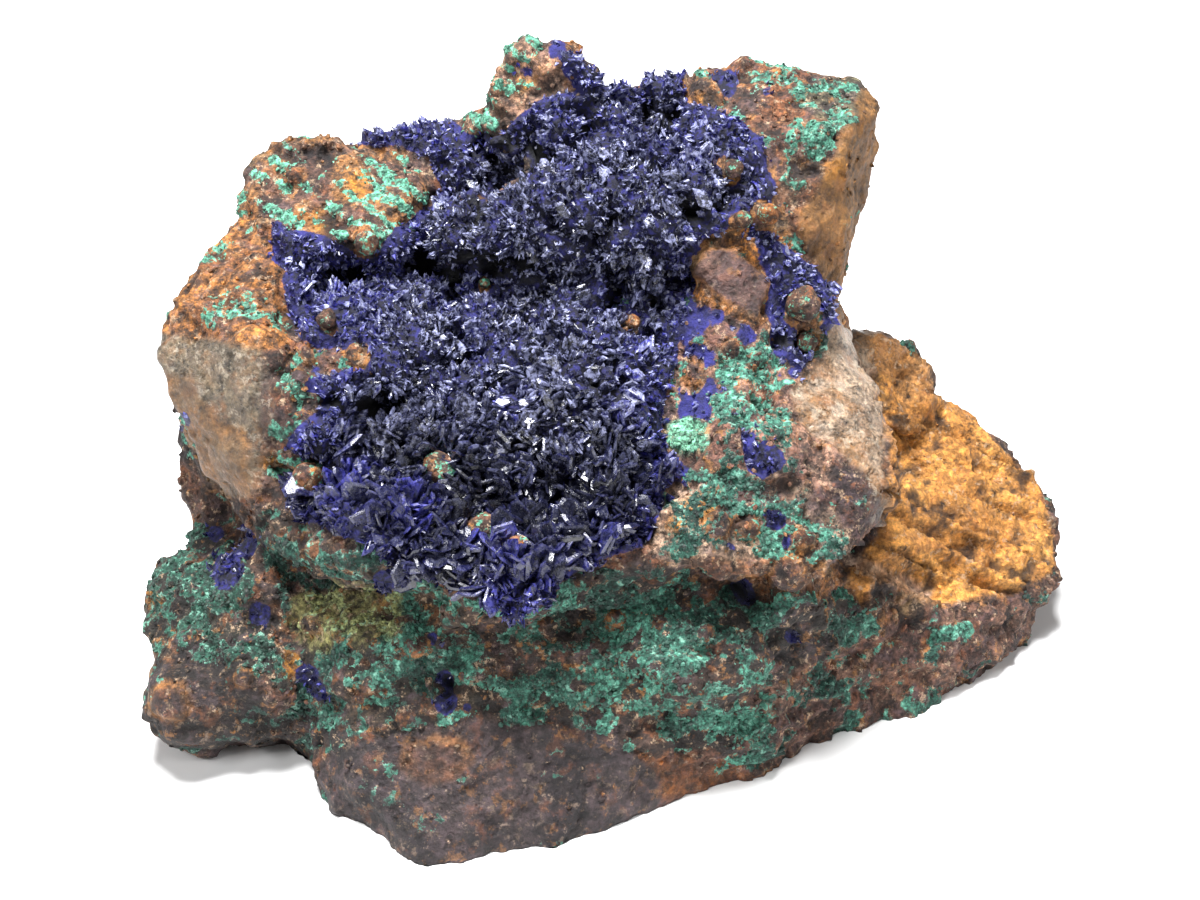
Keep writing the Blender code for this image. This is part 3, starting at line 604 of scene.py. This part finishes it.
# %% The two halves of the skin
quartz = np.clip(amounts["left quartz"] * (1 - 0.7 * amounts["stained quartz"]) + amounts["right quartz"], 0, 1)
# The minerals also carry the painted shade of the deep places.
minerals = {"tint": tint, "green_tint": green_tint, "azurite": azurite, "malachite": malachite, "painted_shade": painted_shade,
            "smooth": smooth_rock, "quartz": quartz, "ochre": np.clip(slab + 0.7 * amounts["right block side"], 0, 1),
            "felt": azurite * (1 - in_hollow) * (1 - round_spots(BLUE_SPECKS, 1.0))}


def keep(mesh, name, values):
    """Store one number or one colour for each point of a mesh."""
    values = np.asarray(values, np.float32)
    if values.ndim == 1:
        mesh.attributes.new(name, "FLOAT", "POINT").data.foreach_set("value", values)
    else:
        rows = np.column_stack([values.clip(0, 1), np.ones_like(values[:, 0])])
        mesh.attributes.new(name, "FLOAT_COLOR", "POINT").data.foreach_set("color", rows.ravel())


def skin_piece(name, chosen):
    """One piece of the skin, with the minerals on it."""
    used, numbers = np.unique(faces[chosen].ravel(), return_inverse=True)
    mesh = bpy.data.meshes.new(name)
    mesh.from_pydata((finished[used] * MM).tolist(), [], numbers.reshape(-1, 4).tolist())
    for label, values in minerals.items():
        keep(mesh, label, values[used])
    mesh.shade_smooth()
    mesh.normals_split_custom_set_from_vertices(outward[used].tolist())
    made = add(name, mesh)
    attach(made, "root")
    print(name, "has", len(mesh.polygons) * 2, "triangles")
    return made


depth = finished[faces].mean(1)[:, 1]
bpy.data.objects.remove(stone)
stone_front = skin_piece("stone_skin_front", depth < np.median(depth))
stone_back = skin_piece("stone_skin_back", depth >= np.median(depth))
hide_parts("matrix_stone")

# %% [markdown]
# ## Writing finishes as sums
#
# A finish in Blender is a net of nodes. Drawn by hand it soon covers the screen, so here it is written as sums
# instead: `Wire` stands for a node's output, and adding or multiplying wires makes the Math node that does it.
# `Finish` starts a material and makes any other node from its type, its settings and what goes into its sockets.

# %% Wires and finishes
class Wire:
    """One node's output. Sums of wires and numbers become Math nodes."""

    def __init__(self, finish, socket):
        self.finish, self.socket = finish, socket

    def maths(self, operation, *values):
        return self.finish.node("ShaderNodeMath", {"operation": operation}, values)

    def __add__(self, other):
        return self.maths("ADD", self, other)

    def __sub__(self, other):
        return self.maths("SUBTRACT", self, other)

    def __rsub__(self, other):
        return self.maths("SUBTRACT", other, self)

    def __mul__(self, other):
        return self.maths("MULTIPLY", self, other)

    def __pow__(self, other):
        return self.maths("POWER", self, other)

    __radd__, __rmul__ = __add__, __mul__

    def size(self):
        """The number without its sign."""
        return self.maths("ABSOLUTE", self)

    def between(self, low, high):
        """0 below low, 1 above high, and a smooth step between."""
        return self.finish.node("ShaderNodeMapRange", {"interpolation_type": "SMOOTHSTEP"}, [self, low, high])


class Finish:
    """A material that is being made."""

    def __init__(self, name, **constants):
        self.material = bpy.data.materials.new(name)
        self.material.use_nodes = True
        self.tree = self.material.node_tree
        self.shader = self.tree.nodes["Principled BSDF"]
        for socket, value in constants.items():
            self.shader.inputs[socket.replace("_", " ")].default_value = value

    def node(self, kind, settings=None, sockets=(), output=0):
        """Any node: its type, its settings, then a wire or a value for each of its sockets."""
        made = self.tree.nodes.new(kind)
        for name, value in (settings or {}).items():
            setattr(made, name, value)
        for key, value in sockets.items() if isinstance(sockets, dict) else enumerate(sockets):
            if isinstance(value, Wire):
                self.tree.links.new(value.socket, made.inputs[key])
            else:
                made.inputs[key].default_value = value
        return Wire(self, made.outputs[output])

    def attribute(self, name, output="Fac"):
        return self.node("ShaderNodeAttribute", {"attribute_name": name}, output=output)

    def noise(self, scale, detail=4.0, roughness=0.55):
        """Noise from 0 to 1, fixed to the object, with lumps about 1/scale of a metre across."""
        where = self.node("ShaderNodeTexCoord", output="Object")
        sockets = {"Vector": where, "Scale": scale, "Detail": detail, "Roughness": roughness}
        return self.node("ShaderNodeTexNoise", {}, sockets)

    def cells(self, scale, output=0, wobble=0.0):
        """Cells about 1/scale of a metre across, with edges that wobble by about this many millimetres."""
        where = self.node("ShaderNodeTexCoord", output="Object")
        if wobble:
            shift = self.node("ShaderNodeTexNoise", {}, {"Vector": where, "Scale": scale * 1.3}, output="Color")
            where = self.node("ShaderNodeVectorMath", {"operation": "MULTIPLY_ADD"},
                              {0: shift, 1: (wobble * MM,) * 3, 2: where})
        return self.node("ShaderNodeTexVoronoi", {}, {"Vector": where, "Scale": scale}, output)

    def mix(self, share, first, second):
        """A mix of two colours, each a wire or a code."""
        first, second = (c if isinstance(c, Wire) else (*linear(c), 1) for c in (first, second))
        return self.node("ShaderNodeMix", {"data_type": "RGBA"}, {0: share, 6: first, 7: second}, output=2)

    def shade(self, colour, brightness):
        """A colour made darker or lighter by a number."""
        return self.node("ShaderNodeVectorMath", {"operation": "SCALE"}, {0: colour, "Scale": brightness})

    def bump(self, height, strength, distance):
        return self.node("ShaderNodeBump", {}, {"Height": height, "Strength": strength, "Distance": distance * MM})

    def connect(self, **sockets):
        for name, wire in sockets.items():
            self.tree.links.new(wire.socket, self.shader.inputs[name.replace("_", " ")])


print("finishes can be written as sums")

# %% [markdown]
# ## The stone's finish
#
# The finish reads the minerals and the painted shade from the mesh and adds what is finer than the mesh: grain,
# specks of rust and ragged green edges. Each stain is a noise cut off at a level, so that it covers only the noise's
# peaks. Quartz is slightly glossy, and the rest is dull.

# %% Brown, rust and quartz of the stone's finish
rock = Finish("broken_stone", IOR=1.5)
quartz_wire, ochre_wire = rock.attribute("quartz"), rock.attribute("ochre")
# One of these numbers is the painted shade of the deep places.
smooth_wire, painted_shade_wire = rock.attribute("smooth"), rock.attribute("painted_shade")
rough_wire = 1 - 0.65 * smooth_wire
grain = rock.noise(1300, 6, 0.7)
coarse = rock.noise(330, 6, 0.65)
streaks = rock.noise(640, 8, 0.75)
speck = rock.cells(800)
tones = 0.6 * rock.cells(520, "Color", 1.6) + 0.6 * rock.cells(1500, "Color", 0.5) - 0.5
brightness = 0.12 + quartz_wire * (0.4 * rock.noise(2600, 4, 0.7).between(0.3, 0.7) - 0.2)
brightness = brightness + 0.75 * grain.between(0.3, 0.7) + 0.6 * coarse.between(0.32, 0.68) + rough_wire * tones
dark_speck = (1 - speck.between(0.15, 0.4)) * grain.between(0.48, 0.6) * (1 - quartz_wire)
colour = rock.shade(rock.attribute("tint", "Color"), brightness)
for share, code in [
    (coarse.between(0.54, 0.62) * rough_wire * 0.5, "#7d4722"),
    (rock.noise(300, 7, 0.7).between(0.5, 0.6) * rough_wire * (1 - ochre_wire) * 0.5, "#54454a"),
    (rock.noise(480, 6, 0.7).between(0.57, 0.63) * rough_wire * 0.7, "#9a6a3a"),
    (dark_speck * (0.85 - 0.6 * ochre_wire), "#1c1413"),
    (rock.noise(620, 6, 0.7).between(0.6, 0.66) * (1 - ochre_wire) * 0.4, "#b39a86"),
    (rock.noise(260, 6, 0.65).between(0.52, 0.62) * quartz_wire * 0.5, "#8a5428"),
    (streaks.between(0.54, 0.6) * quartz_wire * 0.35, "#d2c6b2"),
    ((1 - streaks.between(0.4, 0.46)) * quartz_wire * 0.35, "#6f675c"),
    (rock.noise(560, 8, 0.75).between(0.5, 0.57) * rough_wire * (0.75 - 0.5 * ochre_wire), "#231a18"),
    (rock.noise(820, 8, 0.75).between(0.56, 0.62) * rough_wire * (0.65 - 0.6 * smooth_wire), "#b99d80"),
    # Painted shade: the deep places of the stone turn nearly black.
    (painted_shade_wire * 0.85, "#120d10"),
]:
    colour = rock.mix(share, colour, code)
print("the brown of the stone has", len(rock.tree.nodes), "nodes")

# %% Green of the stone's finish
lacy = rock.noise(1500, 6, 0.7)
web = rock.noise(620, 7, 0.72)
vein = 1 - (rock.noise(430, 7, 0.68) - 0.5).size().between(0.0, 0.06)
malachite_wire = rock.attribute("malachite")
green_edge = (malachite_wire * (0.6 + 0.4 * vein) + (lacy - 0.5) * 1.6 + (web - 0.5) * 1.8).between(0.38, 0.5)
green_edge = green_edge * malachite_wire.between(0.02, 0.12)
green = rock.shade(rock.attribute("green_tint", "Color"), 0.25 + 1.5 * lacy.between(0.38, 0.66))
green = rock.mix(rock.noise(900, 5, 0.65).between(0.56, 0.66) * 0.55, green, "#7fae9c")
green = rock.mix(green_edge * (1 - green_edge) * 4 * 0.6, green, "#86b4a1")
colour = rock.mix(green_edge, colour, green)
speckle = rock.noise(900, 9, 0.8).between(0.36, 0.64) - 0.5
colour = rock.shade(colour, 1 + rough_wire * (1 - 0.5 * ochre_wire) * 1.45 * speckle)
print("with the green it has", len(rock.tree.nodes), "nodes")

# %% Blue of the stone's finish, its gloss and its bumps
azurite_wire = rock.attribute("azurite")
blue = rock.mix(rock.noise(1200, 5, 0.65).between(0.45, 0.65), "#0b0b22", "#26266e")
blue = rock.mix(rock.attribute("felt") * (0.3 + 0.6 * web.between(0.4, 0.6)), blue, "#35358c")
colour = rock.mix((azurite_wire + (lacy - 0.5) * 0.9).between(0.4, 0.6), colour, blue)
# Painted shade: the deep places among the azurite turn nearly black.
colour = rock.mix(azurite_wire * painted_shade_wire, colour, "#030308")
gloss = 0.55 + 0.4 * grain - 0.3 * quartz_wire - 0.12 * smooth_wire
height = 0.6 * grain + 0.5 * coarse + 0.25 * rock.noise(3000, 3, 0.6) - 0.25 * (1 - speck.between(0.1, 0.4))
rock.connect(Base_Color=colour, Roughness=gloss, Normal=rock.bump(height, 1.0, 0.7))
for piece in (stone_front, stone_back):
    piece.data.materials.append(rock.material)
print("the stone's finish has", len(rock.tree.nodes), "nodes")

# %% [markdown]
# ## Growing things on the stone
#
# Blades, beads and nodules are all made the same way. `spots` picks places on the stone where a mineral is, more of
# them where there is more. `stamp` then prints one small body at all those places at once, turned and scaled by a
# frame for each, which is thousands of times quicker than making objects one by one.

# %% Picking places
LOWEST = 2.5
rng = np.random.default_rng(23)
corners = finished[faces]
areas = np.linalg.norm(np.cross(corners[:, 2] - corners[:, 0], corners[:, 3] - corners[:, 1]), axis=1) / 2


def unit(vectors):
    return vectors / np.linalg.norm(vectors, axis=1)[:, None].clip(1e-9)


smooth_out = outward.copy()
for _ in range(6):
    total = np.zeros_like(smooth_out)
    for corner in range(4):
        np.add.at(total, faces[:, corner], smooth_out[faces].sum(1))
    smooth_out = unit(total)


def spots(weight, count):
    """Places, ways out of the stone and nearby point numbers, spread by area and by weight."""
    share = (weight * (finished[:, 2] > LOWEST))[faces].mean(1) * areas
    chosen = faces[rng.choice(len(faces), count, p=share / share.sum())]
    mixing = rng.dirichlet((1, 1, 1, 1), count)
    place = np.einsum("ij,ijk->ik", mixing, finished[chosen])
    return place, unit(np.einsum("ij,ijk->ik", mixing, smooth_out[chosen])), chosen[:, 0]


print("the stone's area is", round(areas.sum()), "square mm")

# %% Stamping a body
def turned(vectors, axes, angles):
    """Each vector turned about its own axis by its own angle."""
    cosine, sine = np.cos(angles)[:, None], np.sin(angles)[:, None]
    along = np.einsum("ij,ij->i", vectors, axes)[:, None]
    return vectors * cosine + np.cross(axes, vectors) * sine + axes * along * (1 - cosine)


def stamp(name, body, frames, places, finish, **values):
    """One piece that holds the body once for each frame. A frame's rows are the body's X, Y and Z in millimetres."""
    shape, triangles = body
    points = (np.einsum("vi,nij->nvj", shape, frames) + places[:, None]).reshape(-1, 3) * MM
    numbers = np.array(triangles)[None] + np.arange(len(places))[:, None, None] * len(shape)
    mesh = bpy.data.meshes.new(name)
    mesh.from_pydata(points.tolist(), [], numbers.reshape(-1, 3).tolist())
    for key, value in values.items():
        keep(mesh, key, value if len(value) == len(points) else np.repeat(value, len(shape), axis=0))
    mesh.materials.append(finish.material)
    made = add(name, mesh)
    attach(made, "root")
    print(name, "has", len(places), "copies and", len(mesh.polygons), "triangles")
    return made


print("bodies can be stamped")

# %% [markdown]
# ## The azurite blades
#
# An azurite blade is a thin plate with a rounded, bevelled outline, like a lens seen from the side. They grow in
# rosettes: a few plates that share one spine and fan out from it like the pages of a book. The blades are small
# and felted at the top and along the edge of the hollow, and large, with dark gaps, towards its lower lip. The
# large ones get a lens of six corners, the middling ones a chip of four, and the smallest only a sliver, because a
# corner that nobody can see costs as much as one that they can.

# %% One blade
LENS = [(-0.5, 0.1), (-0.42, 0.8), (-0.08, 1.0), (0.2, 0.8), (0.5, 0.55), (0.25, -0.3)]
CHIP = [(-0.5, 0.3), (0.1, 1.0), (0.5, 0.35), (0, -0.3)]


def blade_body(outline, bevel):
    """A plate with its outline in the middle and a smaller face on each side. X is its width and Z its length."""
    ring = np.array([(x, 0, z) for x, z in outline], float)
    centre = np.array([0, 0, 0.5])
    sides = [(ring - centre) * (bevel, 1, bevel) + centre + np.array([0, y, 0]) for y in (0.5, -0.5)]
    count = len(ring)
    triangles = []
    for side, turn in ((1, 1), (2, -1)):
        base = side * count
        around = [(i, (i + 1) % count) for i in range(count)]
        half = [t for i, j in around for t in ((i, j, base + j), (i, base + j, base + i))]
        half += [(base, base + i, base + i + 1) for i in range(1, count - 1)]
        triangles += [triangle[::turn] for triangle in half]
    return np.concatenate([ring] + sides), triangles


lens, chip = blade_body(LENS, 0.78), blade_body(CHIP, 0.7)
sliver = (np.array([(-0.5, 0, 0.2), (0.1, 0, 1.0), (0.5, 0, 0.3), (0, 0, -0.3), (0.05, 0.5, 0.4), (0.05, -0.5, 0.4)]),
          [(i, (i + 1) % 4, 5) for i in range(4)] + [((i + 1) % 4, i, 4) for i in range(4)])
print("triangles in a lens, a chip and a sliver:", *(len(triangles) for _, triangles in (lens, chip, sliver)))

# %% Rosettes
# Painted highlights: this share of the blades, if smaller than this many millimetres, gets a pale tone in place of a
# glint.
PAINTED_GLINTS, PAINTED_GLINT_BELOW = 0.035, 1.3


def rosettes(places, outs, blades, size, lean):
    """Frames, places and tones for books of blades: each book shares a spine, and its plates turn about it."""
    count = len(places)
    spine = unit(np.cross(outs, unit(rng.normal(size=(count, 3)))))
    middle = turned(outs, spine, rng.uniform(-lean, lean, count))
    tilt = turned(spine, middle, rng.uniform(0, math.tau, count))
    spread = rng.uniform(0.06, 0.6, count)
    book_tone = 0.85 * rng.uniform(0, 1, count)
    frames, sites, tones = [], [], []
    for step in np.linspace(-1, 1, blades):
        way = turned(middle, tilt, step * spread + rng.normal(0, 0.16, count))
        across = turned(tilt, way, rng.normal(0, 0.3, count))
        plate = np.cross(way, across)
        length = size * rng.uniform(0.6, 1.15, count)
        width = length * rng.uniform(0.35, 0.9, count)
        thickness = length * rng.uniform(0.1, 0.2, count)
        shift = plate * (step * 0.2 + rng.normal(0, 0.08, count))[:, None]
        shift = shift + across * rng.normal(0, 0.15, count)[:, None]
        frames.append(np.stack([across * width[:, None], plate * thickness[:, None], way * length[:, None]], 1))
        sites.append(places + shift * size[:, None])
        tone = np.clip(book_tone + rng.normal(0, 0.12, count), 0, 0.93)
        # A few small blades get a raised tone, which the finish paints pale as a painted highlight.
        tones.append(tone + 0.07 * (rng.random(count) < PAINTED_GLINTS) * (size < PAINTED_GLINT_BELOW))
    return np.concatenate(frames), np.concatenate(sites), np.concatenate(tones)


print("rosettes can be grown")

# %% [markdown]
# ## The azurite's finish
#
# Azurite is so deep a blue that a clean blade looks almost black, and only its thin edges and fine velvet show the
# colour. A film of pale dust, which also serves as painted sheen, lies on the upper blades, and a few small ones get a
# painted highlight in place of a flash. So each blade carries four numbers: its tone, which also marks the painted
# highlights, how much velvet is on it, where its edge is, and its dust with its painted sheen.

# %% Finish for the azurite
gem = Finish("azurite", IOR=1.73)
tone_wire, velvet_wire = gem.attribute("tone"), gem.attribute("velvet")
fine = gem.noise(2200, 4, 0.65)
deep = gem.mix(tone_wire, "#06060f", "#171932")
bright = gem.mix(fine.between(0.35, 0.65), "#1d1d74", "#4545c8")
velvet_share = velvet_wire * (0.25 + 0.75 * gem.noise(1000, 5, 0.7).between(0.42, 0.58))
gem_colour = gem.mix(gem.attribute("edge") ** 2.0 * 0.15 * tone_wire + velvet_share, deep, bright)
# Dust and painted sheen: a pale grey-violet film on the upper blades, partly dust and partly standing in for their
# sheen.
dusty = gem.noise(1150, 6, 0.72).between(0.45, 0.6) * (0.06 + 0.86 * gem.attribute("dust"))
gem_colour = gem.mix(dusty, gem_colour, "#9296bb")
# Painted highlight: the blades with the highest tone turn pale grey and stand in for glints.
gem_colour = gem.mix(tone_wire.between(0.955, 0.985) * 0.5, gem_colour, "#a9adc2")
gem_gloss = 0.08 + 0.34 * fine.between(0.4, 0.65) + 0.3 * velvet_wire
gem.connect(Base_Color=gem_colour, Roughness=gem_gloss, Normal=gem.bump(gem.noise(4200, 3, 0.65), 0.5, 0.12))
print("the azurite's finish has", len(gem.tree.nodes), "nodes")

# %% [markdown]
# ## Where the blades grow
#
# Three numbers for each point of the stone steer the blades: how well inside the hollow it lies, how bright its
# blue is, and how thickly blades grow there. They thin out in the gaps and the caves and around the nodules, so that
# the stone and the dark show between the clumps.

# %% Where the blades are large, where they are bright, and where there are none
BRIGHT = [(-32, 20, 7), (-28, 24, 5), (-33, 12, 4), (6, 10, 3.5), (4, 4, 2.5), (2, 20, 2.5), (-12, 5, 2), (8.5, 0, 3),
          (-10, -18, 3), (-30, -7, 2.5), (-23, -9, 1.5), (-17, 40, 3), (-3, 39, 3), (12, 40, 2.5), (26, 18, 5),
          (-19, 7, 1.5)]
well_inside = rise(rim_depth, 0.5, 4)
bright_blue = 0.9 * (1 - rise(rim_depth, 0.5, 4.5)) * (1 - 0.65 * low_down) + 0.95 * round_spots(BRIGHT, 2)
bright_blue = np.clip(bright_blue + 0.5 * rise(roughness_noise(skin, 7, 3, seed=120), 0.2, 0.5), 0, 1)
growing = (0.35 * azurite + 0.65 * in_hollow) * (1 - 0.7 * gap) * (1 - 0.9 * cave) * rise(nearest_nodule, 1.0, 1.3)
growing = np.maximum(growing, 0.7 * pocket)
print("bright blue on", f"{(bright_blue * azurite > 0.4).mean():.1%}", "of the skin")

# %% Grow the blades
def grow(name, weight, books, blades, sizes, body, lean):
    """One piece of azurite: this many books of blades, most where the weight is high, from sizes[0] to sizes[1] mm."""
    place, out, index = spots(weight, books)
    scale = sizes[0] + (sizes[1] - sizes[0]) * rng.uniform(0, 1, books) ** 1.6
    scale *= 0.8 + 0.3 * low_down[index]
    frames, sites, tones = rosettes(place, out, blades, scale, lean)
    velvet = np.tile(bright_blue[index], blades) * rng.uniform(0.2, 1, len(sites))
    edge = np.tile((body[0][:, 1] == 0).astype(float), len(sites))
    # Dust and painted sheen: much on the upper blades, little on the lower ones.
    dust = np.tile(1 - 0.97 * low_down[index], blades)
    made = stamp(name, body, frames, sites, gem, tone=tones, velvet=velvet, edge=edge, dust=dust)
    return made


on_large = growing * well_inside * (0.05 + 0.95 * low_down) * (1 - 0.8 * bright_blue)
on_middling = growing * rise(rim_depth, -0.5, 0.8) * (1 - 0.5 * bright_blue) * (1 - 0.4 * low_down)
large = grow("azurite_blades_large", on_large, 1100, 4, (1.8, 3.6), lens, 1.2)
grow("azurite_blades_middling", on_middling, 1750, 4, (1.0, 2.0), chip, 1.1)
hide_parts("azurite_crust")
LEFT_OF = -8
for side, here in (("left", finished[:, 0] < LEFT_OF), ("right", finished[:, 0] >= LEFT_OF)):
    on_small = growing * here * (1 - 0.6 * low_down * well_inside)
    grow("azurite_blades_small_" + side, on_small, 5000, 3, (0.5, 1.25), sliver, 1.2)

# %% [markdown]
# ## Malachite beads
#
# Up close, malachite is a mass of tiny beads. The stone's skin already has its lumps; real beads on top of them
# catch the light one by one. Each is a small rounded body, half sunk in the crust.

# %% Beads
def ball(rings, sides):
    """A small round body of triangles."""
    angles = [(math.pi * (r + 1) / (rings + 1), math.tau * (s + 0.5 * (r % 2)) / sides) for r in range(rings)
              for s in range(sides)]
    points = [(math.sin(a) * math.cos(b), math.sin(a) * math.sin(b), math.cos(a)) for a, b in angles]
    top, bottom, last = rings * sides, rings * sides + 1, (rings - 1) * sides
    triangles = []
    for s in range(sides):
        after = (s + 1) % sides
        for r in range(rings - 1):
            a, b, c, d = (ring * sides + corner for ring in (r, r + 1) for corner in (s, after))
            triangles += [(a, c, d), (a, d, b)] if r % 2 else [(a, c, b), (b, c, d)]
        triangles += [(top, s, after), (bottom, last + after, last + s)]
    return np.array(points + [(0, 0, 1), (0, 0, -1)]), triangles


def lying(outs, across, high, crumble=0.0):
    """Frames for round bodies that lie flat on the stone, made angular by some crumbling."""
    side = unit(np.cross(outs, unit(rng.normal(size=outs.shape))))
    other = np.cross(outs, side)
    frames = np.stack([side * across[:, None], other * across[:, None], outs * high[:, None]], 1)
    return frames + rng.normal(0, crumble, frames.shape) * across[:, None, None] if crumble else frames


bead = ball(2, 5)
patina = Finish("malachite", IOR=1.65)
patina_colour = patina.shade(patina.attribute("tint", "Color"), 0.5 + 0.9 * patina.noise(1600, 4, 0.65))
patina.connect(Base_Color=patina_colour, Roughness=0.55 + 0.25 * patina.noise(1500, 3, 0.6))
place, out, index = spots(malachite ** 2, 5200)
size = rng.uniform(0.09, 0.28, len(place)) * (0.7 + 0.5 * malachite[index])
frames = lying(out, size, size * 0.9, 0.22)
shades = green_tint[index] * (rng.uniform(0.3, 1.35, len(place)) ** 1.3)[:, None]
beads = stamp("malachite_beads", bead, frames, place + out * 0.02, patina, tint=shades)

# %% [markdown]
# ## Loose grains
#
# Rough limonite and brown rock are full of small broken grains. They are the same round body, made angular and
# squashed at random, and they borrow the stone's finish and its colour where they lie.

# %% Grains
on_grains = (1 - azurite) * (1 - smooth_rock) * (1 - 0.7 * malachite) * (0.35 + seen) * (1 - 0.6 * slab)
place, out, index = spots(on_grains, 2400)
size = rng.uniform(0.14, 0.48, len(place)) * (1 - 0.35 * slab[index])
frames = lying(out, size, size * rng.uniform(0.5, 1.0, len(place)), 0.2)
shades = tint[index] * rng.uniform(0.6, 1.5, len(place))[:, None]
grains = stamp("stone_grains", bead, frames, place - out * 0.02, rock, tint=shades)

# %% [markdown]
# ## Round nodules among the blades
#
# A few limonite nodules stand in the azurite, brown with green specks, and the largest are like peppercorns. They
# could be pushed up from the skin, but the blades would hide them. So each is a finer round body with lumps, set on
# the skin where it is drawn, and it wears the stone's finish.

# %% Nodules
in_blue = [mark for mark in NODULES if depth_inside(HOLLOW, np.array([mark[:2]]))[0] > -0.3]
sites = [np.argmin(np.hypot(paper[:, 0] - x, paper[:, 1] - y) + 9 * (seen < 0.5)) for x, y, _ in in_blue]
radii = np.array([radius for _, _, radius in in_blue])
knob, knob_triangles = ball(11, 18)
knob = knob * (1 + 0.16 * lumps(knob, 0.7, 130) + 0.12 * lumps(knob, 0.3, 131))[:, None]
frames = lying(smooth_out[sites], radii, radii * 0.9)
browns = np.where(rng.random(len(sites))[:, None] < 0.4, linear("#8a5426"), linear("#5a3c2c"))
nodules = stamp("limonite_nodules", (knob, knob_triangles), frames,
                finished[sites] + smooth_out[sites] * (0.9 * radii)[:, None], rock, tint=browns,
                green_tint=np.tile(linear("#4f8f76"), (len(sites), 1)), malachite=rng.uniform(0.12, 0.42, len(sites)))
nodules.data.shade_smooth()

# %% [markdown]
# ## The light, the floor and the camera
#
# The stone stands on a plain pale floor. One large soft light from above and a little behind gives the blades their
# sheen, two weak ones from the left front and the right front fill the shadows, and a pale sky lights the rest.

# %% Floor and light
STONE_MIDDLE = Vector((0, 0, 0.03))
FLOOR_REACH = 3


def soft_light(name, place, power, size=0.2):
    lamp = bpy.data.lights.new(name, "AREA")
    lamp.shape, lamp.size, lamp.energy = "DISK", size, power
    made = add(name, lamp)
    made.location = place
    made.rotation_euler = (STONE_MIDDLE - Vector(place)).to_track_quat("-Z", "Y").to_euler()


floor_mesh = bpy.data.meshes.new("floor")
floor_corners = [(x * FLOOR_REACH, y * FLOOR_REACH, 0) for x, y in ((-1, -1), (1, -1), (1, 1), (-1, 1))]
floor_mesh.from_pydata(floor_corners, [], [(0, 1, 2, 3)])
floor_mesh.materials.append(Finish("pale_floor", Base_Color=(0.86, 0.86, 0.86, 1), Roughness=0.9).material)
floor = add("floor", floor_mesh)

soft_light("overhead_light", (-0.06, 0.04, 0.6), 9.7)
soft_light("left_front_light", (-0.4, -0.35, 0.55), 2.4)
soft_light("right_front_light", (0.45, -0.3, 0.45), 1.0)
sky = bpy.data.worlds.new("pale_sky")
sky.use_nodes = True
background = sky.node_tree.nodes["Background"].inputs
background["Color"].default_value, background["Strength"].default_value = (1, 1, 1, 1), 0.2
bpy.context.scene.world = sky
bpy.context.scene.view_settings.view_transform = "Standard"

# %% The camera, where the eye was for the drawing
camera_lens = bpy.data.cameras.new("camera")
camera_lens.lens, camera_lens.sensor_width, camera_lens.clip_start = 60, 36, 0.01
camera = add("camera", camera_lens)
camera.location = Vector(EYE) * MM
camera.rotation_euler = Vector(INTO).to_track_quat("-Z", "Y").to_euler()
bpy.context.scene.camera = camera
print("the camera is at", [round(x, 3) for x in camera.location])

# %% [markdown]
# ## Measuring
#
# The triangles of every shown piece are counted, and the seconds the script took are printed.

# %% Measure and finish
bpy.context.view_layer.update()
total = sum(len(f.vertices) - 2 for o in bpy.data.objects if o.type == "MESH" and not o.hide_render
            for f in o.data.polygons)
print("triangles:", total, "in", round(time.time() - started), "seconds")
